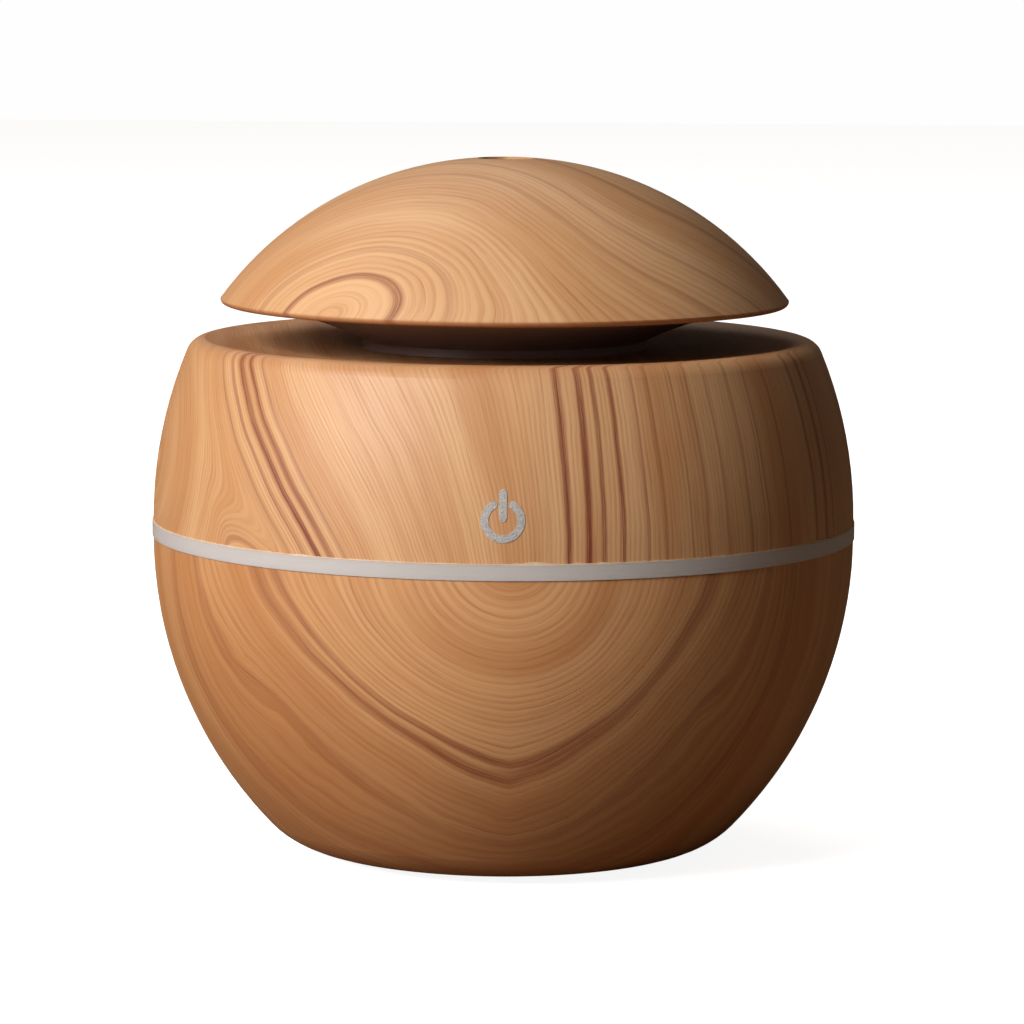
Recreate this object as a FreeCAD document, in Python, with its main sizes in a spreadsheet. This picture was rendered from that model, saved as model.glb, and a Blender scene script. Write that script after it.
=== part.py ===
import FreeCAD, Part
import math
import os
import re

import Sketcher

# Round wood-grain mist diffuser, modelled as it comes apart on a bench.
# Millimetres. +Z is up, the feet stand on Z = 0, the touch key looks along -Y, the power inlet along +Y.

os.makedirs("parts", exist_ok=True)
doc = FreeCAD.newDocument("Diffuser")
sheet = doc.addObject("Spreadsheet::Sheet", "Sizes")

SIZES = {
    # the ball
    "shell_radius": 49.85,        # outside of both shells where they meet the light ring
    "shell_wall": 2.0,
    "foot_proud": 0.8,            # how far the feet lift the shell
    "bowl_height": 44.7,          # shell base to the light ring
    "base_flat": 24.834,          # flat of the base, inside its rounded corner
    "base_corner": 12.1,
    "upper_height": 25.8,         # light ring to the crest of the upper shell
    "upper_arc": 62.5,
    "crest_round": 2.7,
    "dish_drop": 1.3,             # how far the top is dished below the crest
    "dish_flat": 6.5,             # flat of the dish round the mouth
    "dish_wall": 1.8,
    # the light ring
    "ring_band": 2.1,             # its visible height
    "ring_proud": 0.15,
    "ring_lip": 1.6,              # how far its inner lip reaches behind each shell
    "ring_lip_wall": 1.55,
    "lip_clearance": 0.1,
    # the lid
    "mouth_radius": 17.5,         # bore of the tank's mouth
    "mouth_collar": 0.5,          # how much wider the hole in the upper shell is
    "lid_gap": 0.05,              # between the seated lid and the dish
    "neck_reach": 2.7,            # how far the neck's foot covers the dish round the mouth
    "neck_lip": 1.15,
    "flare_rise": 4.9,
    "flare_arc": 45.0,
    "flare_edge": 1.1,
    "dome_rise": 20.05,           # widest edge of the dome to its top
    "dome_radius": 40.3,
    "dome_edge": 0.75,            # height of the rounded edge under that
    "crown_arc": 56.0,
    "crown_radius": 7.7,
    "dome_wall": 1.8,
    "mist_hole": 4.0,
    "tube_wall": 1.4,
    "tube_drop": 2.2,
    "tube_flange": 2.2,
    "spigot_play": 0.5,
    "spigot_wall": 3.2,
    "spigot_depth": 6.6,
    "neck_floor": 1.55,
    # the lid's round seal
    "seal_cord": 1.0,
    "seal_depth": 4.6,            # dish to the seal's centre
    "seal_clearance": 0.1,
    "groove_clearance": 0.05,
    "groove_room": 0.2,           # above and below the cord
    # the water tank
    "tank_wall": 1.6,
    "tank_depth": 10.6,           # flange to the tank's floor
    "tank_fillet": 3.0,
    "flange_drop": 0.9,           # light ring to the underside of the flange
    "flange_thick": 1.8,
    "flange_reach": 7.6,
    "flange_gap": 0.6,            # between the flange and the light ring's lip
    "shoulder_drop": 11.3,        # collar to the start of the rounded shoulder
    "shoulder_arc": 21.0,
    "shoulder_reach": 6.5,
    "seal_seat": 1.9,             # tank's inside to its seal
    "collar_depth": 4.8,
    "gasket_thick": 1.0,
    "tank_seal_width": 1.2,
    "tank_seal_height": 0.8,
    "wire_notch": 6.0,
    # the atomizer
    "plate_hole": 8.2,
    "disc_radius": 10.0,
    "disc_thick": 1.2,
    "disc_drop": 1.0,
    "gasket_radius": 10.6,
    "cup_wall": 3.0,
    "cup_depth": 4.0,
    "retainer_thick": 1.6,
    # the air path
    "pipe_bore": 4.5,
    "pipe_wall": 1.2,
    "pipe_reach": 15.5,           # the stand pipe's centre, left of and behind the middle by this much
    "pipe_drop": 13.3,            # collar to the stand pipe's mouth
    "socket_depth": 5.4,
    "duct_wall": 1.0,
    "slip": 0.1,
    "cap_radius": 7.0,
    "cap_gap": 3.0,
    "cap_thick": 1.4,
    "plug_depth": 3.0,
    "hood_step": 0.4,             # the hood's bore inside the fan's
    "hood_plate": 1.2,
    "hood_rise": 8.0,
    # the fan
    "fan_size": 30.0,
    "fan_height": 7.0,
    "fan_rim": 1.4,               # thinnest wall round the fan's bore
    "fan_hole_in": 3.0,           # fan's side to its screw holes
    "blade_gap": 0.7,
    "strut_thick": 1.0,
    "strut_wide": 1.6,
    "hub_lift": 0.5,
    "blade_root": 2.3,            # half of a blade's chord at the hub
    "blade_end": 3.6,
    "blade_thick": 0.7,
    "blade_inset": 0.2,
    "hub_radius": 7.7,
    "hub_wall": 0.8,
    "magnet_wall": 0.9,
    "stator_radius": 5.6,
    "shaft_radius": 0.75,
    "shaft_clearance": 0.04,
    "bearing_wall": 0.8,
    "bearing_tube": 0.8,
    "bearing_lift": 1.9,
    "core_lift": 3.0,
    "core_thick": 1.8,
    "core_ring": 0.7,
    "pole_wide": 1.2,
    "shoe_thick": 0.7,
    "shoe_wide": 4.0,
    "coil_wide": 2.6,
    "coil_tall": 2.8,
    "coil_long": 1.0,
    # the base
    "cover_thick": 2.0,
    "floor_thick": 2.0,
    "cover_radius": 22.85,
    "cover_clearance": 0.15,
    "floor_opening": 13.8,
    "post_ring": 19.5,
    "post_radius": 2.6,
    "post_height": 8.1,
    "foot_radius": 3.2,
    "foot_ring": 17.6,
    "foot_sunk": 0.8,
    "slot_width": 1.7,
    "slot_start": 4.0,
    "slot_end": 11.6,
    # the circuit boards
    "board_low": 23.4,
    "board_thick": 1.6,
    "board_radius": 30.0,
    "board_post_ring": 26.0,
    "board_post": 2.2,
    "board_hole": 5.0,            # depth of the screw holes in its posts
    "led_drop": 4.2,              # flange to the lamp board's underside
    "led_board_thick": 1.0,
    "led_board_gap": 0.8,
    "led_size": 3.0,
    "led_thick": 0.8,
    "touch_rise": 5.9,            # light ring to the centre of the touch key
    "touch_width": 12.0,
    "touch_tall": 9.6,
    "touch_gap": 5.25,            # room for the touch spring inside the shell
    "touch_board": 1.0,
    "spring_wire": 0.25,
    "spring_radius": 2.6,
    # the power inlet
    "jack_high": 18.0,
    "recess_radius": 5.6,
    "recess_depth": 14.65,        # from the ball's waist to the recess floor
    "recess_wall": 1.6,
    "nose_radius": 2.9,
    "jack_bore": 1.85,
    "jack_width": 7.0,
    "jack_tall": 6.4,
    "jack_long": 7.8,
    # fasteners
    "case_screw": 1.25,
    "case_head": 2.0,
    "case_hole": 8.0,             # depth of their holes in the tank's pillars
    "small_screw": 0.9,
    "small_head": 1.8,
    "hole_clearance": 0.15,
    "head_thick": 1.2,
    "thin_head": 0.9,
    "screw_inset": 0.4,           # head to the edge of what it holds
    "boss_wall": 0.6,
    "boss_high": 7.0,
    "rib_thick": 1.6,
    "screw_hole": 6.0,            # depth of a small screw's hole in a boss
    "screw_bite": 5.5,            # how far a small screw's tip goes into it
    "wire_radius": 0.5,
    "wire_pitch": 0.6,
    # the printed key
    "key_radius": 2.95,
    "key_stroke": 1.05,
    "key_bar_low": 0.38,          # the bar's rounded ends, above the key's centre
    "key_bar_high": 3.62,
    "key_film": 0.05,
}

for row, (alias, number) in enumerate(SIZES.items(), start=1):
    sheet.set(f"A{row}", str(number))
    sheet.setAlias(f"A{row}", alias)
doc.recompute()


def bound(text):
    """The same formula with every alias read from the sheet and every worked-out size spelled out."""

    def spell(found):
        word = found[0]
        if word in WORKED_OUT:
            return "(" + bound(WORKED_OUT[word]) + ")"
        return "Sizes." + word if word in SIZES else word

    return re.sub(r"[a-z][a-z_0-9]*", spell, str(text))


def number(text):
    """What a formula of aliases comes to."""
    return float(sheet.evalExpression(bound(text).replace("Sizes.", "")))


# Levels and radii that several pieces share, as formulas of the sheet's values.
BASE = "foot_proud"
RING_LOW = f"({BASE} + bowl_height)"
RING_TOP = f"({RING_LOW} + ring_band)"
CREST = f"({RING_TOP} + upper_height)"
DISH = f"({CREST} - dish_drop)"
DISH_UNDER = f"({DISH} - dish_wall)"
COLLAR_TOP = f"({DISH_UNDER} - gasket_thick)"
COVER_TOP = f"({BASE} + cover_thick)"
FLOOR_TOP = f"({COVER_TOP} + floor_thick)"
POST_TOP = f"({FLOOR_TOP} + post_height)"
FAN_TOP = f"({FLOOR_TOP} + fan_height)"
HOOD_TOP = f"({FAN_TOP} + hood_plate)"
DUCT_TOP = f"({HOOD_TOP} + hood_rise)"
BOARD_TOP = "(board_low + board_thick)"
TANK_UNDER = "(tank_floor - tank_wall)"
CUP_LOW = f"({TANK_UNDER} - cup_depth)"
RETAINER_LOW = f"({CUP_LOW} - retainer_thick)"
DISC_TOP = f"({TANK_UNDER} - disc_drop)"
SPLIT = "(flange_low + flange_thick)"
FLANGE_TOP = f"({SPLIT} + flange_thick)"
CASE_BORE = "(case_screw + hole_clearance)"
SMALL_BORE = "(small_screw + hole_clearance)"
LED_BOARD_TOP = "(led_board_low + led_board_thick)"
SEAT = f"({DISH} + lid_gap)"
RIM = f"({SEAT} + neck_lip + flare_rise)"
DOME_EDGE = f"({RIM} + dome_edge)"
DOME_TOP = f"({DOME_EDGE} + dome_rise)"

FLAT_IN = "(shell_radius - base_flat)"
SIDE_RISE = "(bowl_height - base_corner)"

# Sizes that follow from others, so that what fits still fits when one of them changes.
WORKED_OUT = {
    # the side arc that stands upright at the light ring and runs into the base's corner
    "bowl_arc": f"({FLAT_IN}^2 + {SIDE_RISE}^2 - base_corner^2) / (2 * ({FLAT_IN} - base_corner))",
    "flange_radius": "shell_radius - shell_wall - lip_clearance - ring_lip_wall - flange_gap",
    "tank_radius": "flange_radius - flange_reach",
    "flange_low": f"{RING_LOW} - flange_drop",
    "tank_floor": "flange_low - tank_depth",
    "shoulder_top": f"{COLLAR_TOP} - shoulder_drop",
    "shoulder_in": "mouth_radius + shoulder_reach",
    "pipe_top": f"{COLLAR_TOP} - pipe_drop",
    "mouth_hole": "mouth_radius + mouth_collar",
    "dish_flat_radius": "mouth_radius + dish_flat",
    "neck_radius": "mouth_radius + neck_reach",
    "spigot_radius": "mouth_radius - spigot_play",
    "fan_bore": "fan_size / 2 - fan_rim",
    "fan_hole_pitch": "fan_size - 2 * fan_hole_in",
    "blade_tip": "fan_bore - blade_gap",
    "hood_radius": "fan_bore - hood_step",
    "led_board_low": "flange_low - led_drop",
    "led_board_in": "tank_radius + tank_wall + led_board_gap",
    "touch_high": f"{RING_TOP} + touch_rise",
    "touch_face": "shell_radius - shell_wall - touch_gap",
    "recess_floor": "shell_radius - recess_depth",
    "sleeve_radius": "recess_radius + recess_wall",
}


# ---------------------------------------------------------------- drawing tools


def arc_geometry(start, end, radius, side):
    """The shorter arc between two points, with its centre on the left (+1) or the right (-1) of the way."""
    chord = end - start
    half = chord.Length / 2
    left = FreeCAD.Vector(-chord.y, chord.x, 0).normalize()
    centre = (start + end) / 2 + left * side * math.sqrt(max(radius**2 - half**2, 0))
    first, last = (start, end) if side > 0 else (end, start)
    angles = [math.atan2(point.y - centre.y, point.x - centre.x) for point in (first, last)]
    circle = Part.Circle(centre, FreeCAD.Vector(0, 0, 1), radius)
    return Part.ArcOfCircle(circle, angles[0], angles[1])


class Piece:
    """A PartDesign body that grows feature by feature. Every length is a formula bound to the sheet."""

    def __init__(self, label):
        self.body = doc.addObject("PartDesign::Body", "Body_" + label)
        self.body.Label = label
        self.label = label

    def origin(self, role):
        return [item for item in self.body.Origin.OriginFeatures if item.Role == role][0]

    def sketch(self, plane="XY_Plane", level="0"):
        """A sketch on one of the body's own origin planes, lifted off it to a level."""
        drawn = self.body.newObject("Sketcher::SketchObject", self.label + "_sketch")
        drawn.AttachmentSupport = [(self.origin(plane), "")]
        drawn.MapMode = "FlatFace"
        drawn.setExpression("AttachmentOffset.Base.z", bound(level))
        return drawn

    def pin(self, drawn, index, corner, x, y):
        """Ties one point of a sketch's geometry to its place."""
        for kind, text in (("DistanceX", x), ("DistanceY", y)):
            row = drawn.addConstraint(Sketcher.Constraint(kind, -1, 1, index, corner, number(text)))
            drawn.setExpression(f"Constraints[{row}]", bound(text))

    def outline(self, drawn, corners):
        """A closed outline. A corner is (x, y), or (x, y, radius, side) where an arc leads to it."""
        points = [FreeCAD.Vector(number(c[0]), number(c[1]), 0) for c in corners]
        ends = []
        for i, corner in enumerate(corners):
            start = points[i - 1]
            if len(corner) == 2:
                index = drawn.addGeometry(Part.LineSegment(start, points[i]))
                ends.append((index, 1, 2))
                continue
            index = drawn.addGeometry(arc_geometry(start, points[i], number(corner[2]), corner[3]))
            ends.append((index, 1, 2) if corner[3] > 0 else (index, 2, 1))
            row = drawn.addConstraint(Sketcher.Constraint("Radius", index, number(corner[2])))
            drawn.setExpression(f"Constraints[{row}]", bound(corner[2]))
        for i, corner in enumerate(corners):
            index, _, last = ends[i]
            follower, start, _ = ends[(i + 1) % len(corners)]
            drawn.addConstraint(Sketcher.Constraint("Coincident", index, last, follower, start))
            self.pin(drawn, index, last, corner[0], corner[1])

    def circle(self, drawn, x, y, radius):
        centre = FreeCAD.Vector(number(x), number(y), 0)
        index = drawn.addGeometry(Part.Circle(centre, FreeCAD.Vector(0, 0, 1), number(radius)))
        self.pin(drawn, index, 3, x, y)
        row = drawn.addConstraint(Sketcher.Constraint("Radius", index, number(radius)))
        drawn.setExpression(f"Constraints[{row}]", bound(radius))

    def box(self, drawn, low_x, low_y, high_x, high_y):
        self.outline(drawn, [(low_x, low_y), (high_x, low_y), (high_x, high_y), (low_x, high_y)])

    def spoke(self, drawn, angle, start, end, wide):
        """A bar along a radius."""
        cosine, sine = f"cos({angle} deg)", f"sin({angle} deg)"
        self.outline(drawn, [
            (f"({reach}) * {cosine} - ({side}) * {sine}", f"({reach}) * {sine} + ({side}) * {cosine}")
            for reach, side in ((start, f"-{wide} / 2"), (end, f"-{wide} / 2"),
                                (end, f"{wide} / 2"), (start, f"{wide} / 2"))
        ])

    def turn(self, corners, cut=False):
        """Revolves an outline of (radius, level) corners about Z."""
        drawn = self.sketch("XZ_Plane")
        self.outline(drawn, corners)
        kind = "Groove" if cut else "Revolution"
        made = self.body.newObject("PartDesign::" + kind, self.label + "_turn")
        made.Profile = drawn
        made.ReferenceAxis = (drawn, ["V_Axis"])
        made.Angle = 360
        doc.recompute()
        return made

    def raise_from(self, drawn, length, down=False):
        """A pad from a sketch, away from its plane."""
        made = self.body.newObject("PartDesign::Pad", self.label + "_pad")
        made.Profile = drawn
        made.setExpression("Length", bound(length))
        made.Reversed = down
        doc.recompute()
        return made

    def sink_from(self, drawn, length, up=False, both_ways=False):
        """A pocket from a sketch, downwards unless it is told to go up. It has to take material away."""
        doc.recompute()
        before = self.body.Shape.Volume
        made = self.body.newObject("PartDesign::Pocket", self.label + "_pocket")
        made.Profile = drawn
        made.setExpression("Length", bound(length))
        made.Reversed = up
        made.Midplane = both_ways
        doc.recompute()
        assert self.body.Shape.Volume < before - 1e-6, self.label + ": a pocket cut nothing"
        return made

    def pattern(self, feature, count):
        """Repeats a feature evenly round Z."""
        made = self.body.newObject("PartDesign::PolarPattern", self.label + "_pattern")
        made.Originals = [feature]
        made.Axis = (self.origin("Z_Axis"), [""])
        made.Angle = 360
        made.Occurrences = count
        self.body.Tip = made
        doc.recompute()
        return made

    def posts(self, spots, radius, low, high):
        """Round posts between two levels."""
        drawn = self.sketch(level=low)
        for x, y in spots:
            self.circle(drawn, x, y, radius)
        return self.raise_from(drawn, f"{high} - ({low})")

    def drill(self, spots, radius, low, high):
        """Round holes between two levels."""
        drawn = self.sketch(level=high)
        for x, y in spots:
            self.circle(drawn, x, y, radius)
        return self.sink_from(drawn, f"{high} - ({low})")


def around(ring, angles):
    """Places on a circle about Z, as formulas."""
    return [(f"({ring}) * cos({angle} deg)", f"({ring}) * sin({angle} deg)") for angle in angles]


def screws(label, spots, shank, head, head_low, head_thick, tip, recess=0.5):
    """Cross-recessed screws, all upright. The tip's level says which way they point."""
    piece = Piece(label)
    piece.posts(spots, head, head_low, f"({head_low}) + {head_thick}")
    points_up = number(tip) > number(head_low)
    shank_low, shank_high = (f"({head_low}) + {head_thick}", tip) if points_up else (tip, head_low)
    piece.posts(spots, shank, shank_low, shank_high)
    outer = head_low if points_up else f"({head_low}) + {head_thick}"
    arm, blade = f"0.6 * {head}", f"0.14 * {head}"
    for half_x, half_y in ((arm, blade), (blade, arm)):
        drawn = piece.sketch(level=outer)
        for x, y in spots:
            piece.box(drawn, f"{x} - {half_x}", f"{y} - {half_y}", f"{x} + {half_x}", f"{y} + {half_y}")
        piece.sink_from(drawn, recess, up=points_up)
    return piece


# Part primitives, for pieces that are blocks, discs and simple joins of them.
FRONT = FreeCAD.Rotation(FreeCAD.Vector(1, 0, 0), 90)      # turns +Z to -Y
NODES = []


def place(made, spot, turn=None):
    """Puts a primitive at a spot given as three formulas, turned first if asked."""
    if turn is not None:
        made.Placement = FreeCAD.Placement(FreeCAD.Vector(), turn)
    for axis, text in zip("xyz", spot):
        made.setExpression("Placement.Base." + axis, bound(text))
    return made


def spun(angle):
    return FreeCAD.Rotation(FreeCAD.Vector(0, 0, 1), angle)


def cylinder(radius, height, spot=("0", "0", "0"), turn=None):
    made = doc.addObject("Part::Cylinder", "Round")
    made.setExpression("Radius", bound(radius))
    made.setExpression("Height", bound(height))
    return place(made, spot, turn)


def block(long, wide, tall, spot=("0", "0", "0"), turn=None):
    made = doc.addObject("Part::Box", "Block")
    for name, text in (("Length", long), ("Width", wide), ("Height", tall)):
        made.setExpression(name, bound(text))
    return place(made, spot, turn)


def at(angle, ring, level):
    return (f"({ring}) * cos({angle} deg)", f"({ring}) * sin({angle} deg)", level)


def radial_block(long, wide, tall, angle, ring, level):
    """A block centred on a radius, its length along it."""
    x, y, _ = at(angle, ring, level)
    x = f"{x} - ({long}) / 2 * cos({angle} deg) + ({wide}) / 2 * sin({angle} deg)"
    y = f"{y} - ({long}) / 2 * sin({angle} deg) - ({wide}) / 2 * cos({angle} deg)"
    return block(long, wide, tall, (x, y, level), spun(angle))


def keep(label, made):
    """Marks an object as one of the diffuser's own pieces."""
    made.Label = label
    NODES.append(made)
    return made


def joined(name, parts):
    made = doc.addObject("Part::MultiFuse", name)
    made.Shapes = parts
    made.Refine = True
    return made


def carved(name, base, tool):
    made = doc.addObject("Part::Cut", name)
    made.Base = base
    made.Tool = tool
    return made


def grouped(name, parts):
    made = doc.addObject("Part::Compound", name)
    made.Links = parts
    return made


CASE_POSTS = around("post_ring", (0, 90, 180, 270))
BOARD_POSTS = around("board_post_ring", (45, 225, 315))
TANK_POSTS = around("flange_radius - small_head - screw_inset", (45, 135, 225, 315))
LED_POSTS = around("flange_radius - small_head - 2 * screw_inset - slip", (90, 210, 330))
CUP_POSTS = around("gasket_radius + cup_wall / 2", (30, 150, 270))
PIPE = ("-pipe_reach", "pipe_reach")
FAN_POSTS = [("fan_hole_pitch / 2", "fan_hole_pitch / 2"), ("-fan_hole_pitch / 2", "-fan_hole_pitch / 2")]
ALL_FAN_HOLES = FAN_POSTS + [
    ("fan_hole_pitch / 2", "-fan_hole_pitch / 2"),
    ("-fan_hole_pitch / 2", "fan_hole_pitch / 2"),
]


# ---------------------------------------------------------------- outer shells

# Two arcs meet where their tangents agree, which gives the sine of the angle at the joint.
BOWL_SINE = "((bowl_height - base_corner) / (bowl_arc - base_corner))"
BOWL_COSINE = f"sqrt(1 - {BOWL_SINE}^2)"
UPPER_SINE = "((upper_height - crest_round) / (upper_arc - crest_round))"
UPPER_COSINE = f"sqrt(1 - {UPPER_SINE}^2)"
CREST_RADIUS = f"(shell_radius - upper_arc + (upper_arc - crest_round) * {UPPER_COSINE})"
DISH_REACH = f"({CREST_RADIUS} - dish_flat_radius)"
DISH_ARC = f"({DISH_REACH}^2 + dish_drop^2) / (2 * dish_drop)"


def bowl_joint(inset):
    """Where the bowl's side arc meets its corner arc, on a skin this far inside the outer one."""
    side = f"(bowl_arc - {inset})"
    return f"shell_radius - bowl_arc + {side} * {BOWL_COSINE}", f"{RING_LOW} - {side} * {BOWL_SINE}"


def upper_joint(inset):
    """Where the upper shell's side arc meets its crest, on a skin this far from the outer one."""
    side = f"(upper_arc - {inset})"
    return f"shell_radius - upper_arc + {side} * {UPPER_COSINE}", f"{RING_TOP} + {side} * {UPPER_SINE}"


BOWL_SKIN = [
    ("shell_radius", RING_LOW),
    (*bowl_joint("0"), "bowl_arc", -1),
    ("base_flat", BASE, "base_corner", -1),
]


def make_lower_shell():
    """The bowl: turned, with a round hole at the back for the inlet sleeve, and posts for the case screws."""
    piece = Piece("lower_shell")
    corner_inside = "(base_corner - shell_wall)"
    floor_reach = f"base_flat + sqrt({corner_inside}^2 - (base_corner + {BASE} - {FLOOR_TOP})^2)"
    piece.turn(BOWL_SKIN + [
        ("cover_radius + cover_clearance", BASE),
        ("cover_radius + cover_clearance", COVER_TOP),
        ("floor_opening", COVER_TOP),
        ("floor_opening", FLOOR_TOP),
        (floor_reach, FLOOR_TOP),
        (*bowl_joint("shell_wall"), corner_inside, 1),
        ("shell_radius - shell_wall", RING_LOW, "bowl_arc - shell_wall", 1),
    ])
    hole = piece.sketch("XZ_Plane", "recess_wall - recess_floor")
    piece.circle(hole, "0", "jack_high", "sleeve_radius")
    piece.sink_from(hole, "shell_radius")
    piece.posts(CASE_POSTS, "post_radius", FLOOR_TOP, POST_TOP)
    piece.drill(CASE_POSTS, CASE_BORE, COVER_TOP, POST_TOP)
    piece.drill(FAN_POSTS, "small_screw", f"{FLOOR_TOP} - 0.8 * floor_thick", FLOOR_TOP)
    keep("lower_shell", piece.body)


def make_inlet_sleeve():
    """The sleeve behind the plug: a cup glued into the bowl's hole and trimmed to its skin."""
    piece = Piece("inlet_sleeve")
    cup = piece.sketch("XZ_Plane", "recess_wall - recess_floor")
    piece.circle(cup, "0", "jack_high", "sleeve_radius")
    piece.raise_from(cup, "shell_radius - recess_floor", down=True)
    piece.turn(BOWL_SKIN + [("2 * shell_radius", BASE), ("2 * shell_radius", RING_LOW)], cut=True)
    for radius, depth, inward in (("recess_radius", "shell_radius", False),
                                  ("nose_radius + slip", "recess_wall", True)):
        hole = piece.sketch("XZ_Plane", "-recess_floor")
        piece.circle(hole, "0", "jack_high", radius)
        piece.sink_from(hole, depth, up=inward)
    keep("inlet_sleeve", piece.body)


def make_upper_shell():
    """The top half: side, crest, dished top and the hole for the tank's mouth, with four screw bosses."""
    piece = Piece("upper_shell")
    piece.turn([
        ("shell_radius", RING_TOP),
        (*upper_joint("0"), "upper_arc", 1),
        (CREST_RADIUS, CREST, "crest_round", 1),
        ("dish_flat_radius", DISH, DISH_ARC, -1),
        ("mouth_hole", DISH),
        ("mouth_hole", DISH_UNDER),
        ("dish_flat_radius", DISH_UNDER),
        upper_joint("shell_wall"),
        ("shell_radius - shell_wall", RING_TOP, "upper_arc - shell_wall", -1),
    ])
    boss_top = f"{FLANGE_TOP} + boss_high"
    piece.posts(TANK_POSTS, "small_head + boss_wall", FLANGE_TOP, boss_top)
    rib_low = f"({RING_TOP} + ring_lip + 2 * slip)"
    ribs = piece.sketch(level=rib_low)
    for angle in (45, 135, 225, 315):
        piece.spoke(ribs, angle, "flange_radius - small_head", "shell_radius - 0.6 * shell_wall", "rib_thick")
    piece.raise_from(ribs, f"{boss_top} - {rib_low}")
    piece.drill(TANK_POSTS, "small_screw", FLANGE_TOP, f"{FLANGE_TOP} + screw_hole")
    keep("upper_shell", piece.body)


def make_light_ring():
    """The translucent band, with a lip that centres both shells from inside."""
    piece = Piece("light_ring")
    lip_out = "(shell_radius - shell_wall - lip_clearance)"
    lip_in = f"({lip_out} - ring_lip_wall)"
    rim = "(shell_radius + ring_proud)"
    piece.turn([
        (lip_in, f"{RING_LOW} - ring_lip"),
        (lip_out, f"{RING_LOW} - ring_lip"),
        (lip_out, RING_LOW),
        (rim, RING_LOW),
        (rim, RING_TOP),
        (lip_out, RING_TOP),
        (lip_out, f"{RING_TOP} + ring_lip"),
        (lip_in, f"{RING_TOP} + ring_lip"),
    ])
    keep("light_ring", piece.body)


def make_power_icon():
    """The printed key: an open circle and a bar, as a thin film on the upper shell's skin."""
    film = Piece("key_film_skin")
    film.turn([
        ("shell_radius + key_film", RING_TOP),
        (*upper_joint("-key_film"), "upper_arc + key_film", 1),
        upper_joint("0"),
        ("shell_radius", RING_TOP, "upper_arc", -1),
    ])
    gap = 32                      # degrees each side of the bar where the circle is open
    middle = "(key_radius - key_stroke / 2)"
    centre = ("0", "0", "touch_high")
    circle = cylinder("key_radius", "2 * shell_radius", centre, FRONT * spun(90 + gap))
    circle.Angle = 360 - 2 * gap
    inside = cylinder("key_radius - key_stroke", "2 * shell_radius", centre, FRONT)
    strokes = [carved("key_circle", circle, inside)]
    low, high = "(touch_high + key_bar_low)", "(touch_high + key_bar_high)"
    ends = [(f"{side} * {middle} * sin({gap} deg)", "0", f"touch_high + {middle} * cos({gap} deg)")
            for side in (-1, 1)]
    for spot in ends + [("0", "0", low), ("0", "0", high)]:
        strokes.append(cylinder("key_stroke / 2", "2 * shell_radius", spot, FRONT))
    bar_spot = ("-key_stroke / 2", "-2 * shell_radius", low)
    strokes.append(block("key_stroke", "2 * shell_radius", f"{high} - {low}", bar_spot))
    shared = doc.addObject("Part::MultiCommon", "key_print")
    shared.Shapes = [film.body, joined("key_mark", strokes)]
    keep("power_icon", shared)


# ---------------------------------------------------------------- the lid

CROWN_SINE = "(crown_radius / crown_arc)"
CROWN_COSINE = f"sqrt(1 - {CROWN_SINE}^2)"
CROWN_DROP = f"(crown_arc * (1 - {CROWN_COSINE}))"
# The side arc leaves the crown along its tangent and passes the dome's widest edge.
SIDE_REACH = "(dome_radius - crown_radius)"
SIDE_FALL = f"(dome_rise - {CROWN_DROP})"
SIDE_ARC = (
    f"(({SIDE_REACH}^2 + {SIDE_FALL}^2)"
    f" / (2 * ({SIDE_FALL} * {CROWN_COSINE} - {SIDE_REACH} * {CROWN_SINE})))"
)
SIDE_X = f"(crown_radius - {SIDE_ARC} * {CROWN_SINE})"
SIDE_Z = f"({DOME_TOP} - {CROWN_DROP} - {SIDE_ARC} * {CROWN_COSINE})"
DOME_INNER = f"({SIDE_ARC} - dome_wall)"
DOME_SEAT = f"({SIDE_X} + sqrt({DOME_INNER}^2 - ({RIM} + flare_edge - {SIDE_Z})^2))"


def crown_level(radius, inset="0"):
    """The level of the dome's crown at a radius, on a skin this far inside the outer one."""
    return f"{DOME_TOP} - crown_arc + sqrt((crown_arc - {inset})^2 - ({radius})^2)"


def make_lid_dome():
    """The domed cap, with the mist hole at its top."""
    crown_in = f"((crown_arc - dome_wall) * {CROWN_SINE})"
    piece = Piece("lid_dome")
    piece.turn([
        ("mist_hole", crown_level("mist_hole")),
        ("crown_radius", crown_level("crown_radius"), "crown_arc", -1),
        ("dome_radius", DOME_EDGE, SIDE_ARC, -1),
        ("dome_radius - dome_edge", RIM, "dome_edge * 1.05", -1),
        (DOME_SEAT, RIM),
        (DOME_SEAT, f"{RIM} + flare_edge"),
        (crown_in, crown_level(crown_in, "dome_wall"), DOME_INNER, 1),
        ("mist_hole", crown_level("mist_hole", "dome_wall"), "crown_arc - dome_wall", 1),
    ])
    keep("lid_dome", piece.body)


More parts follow.
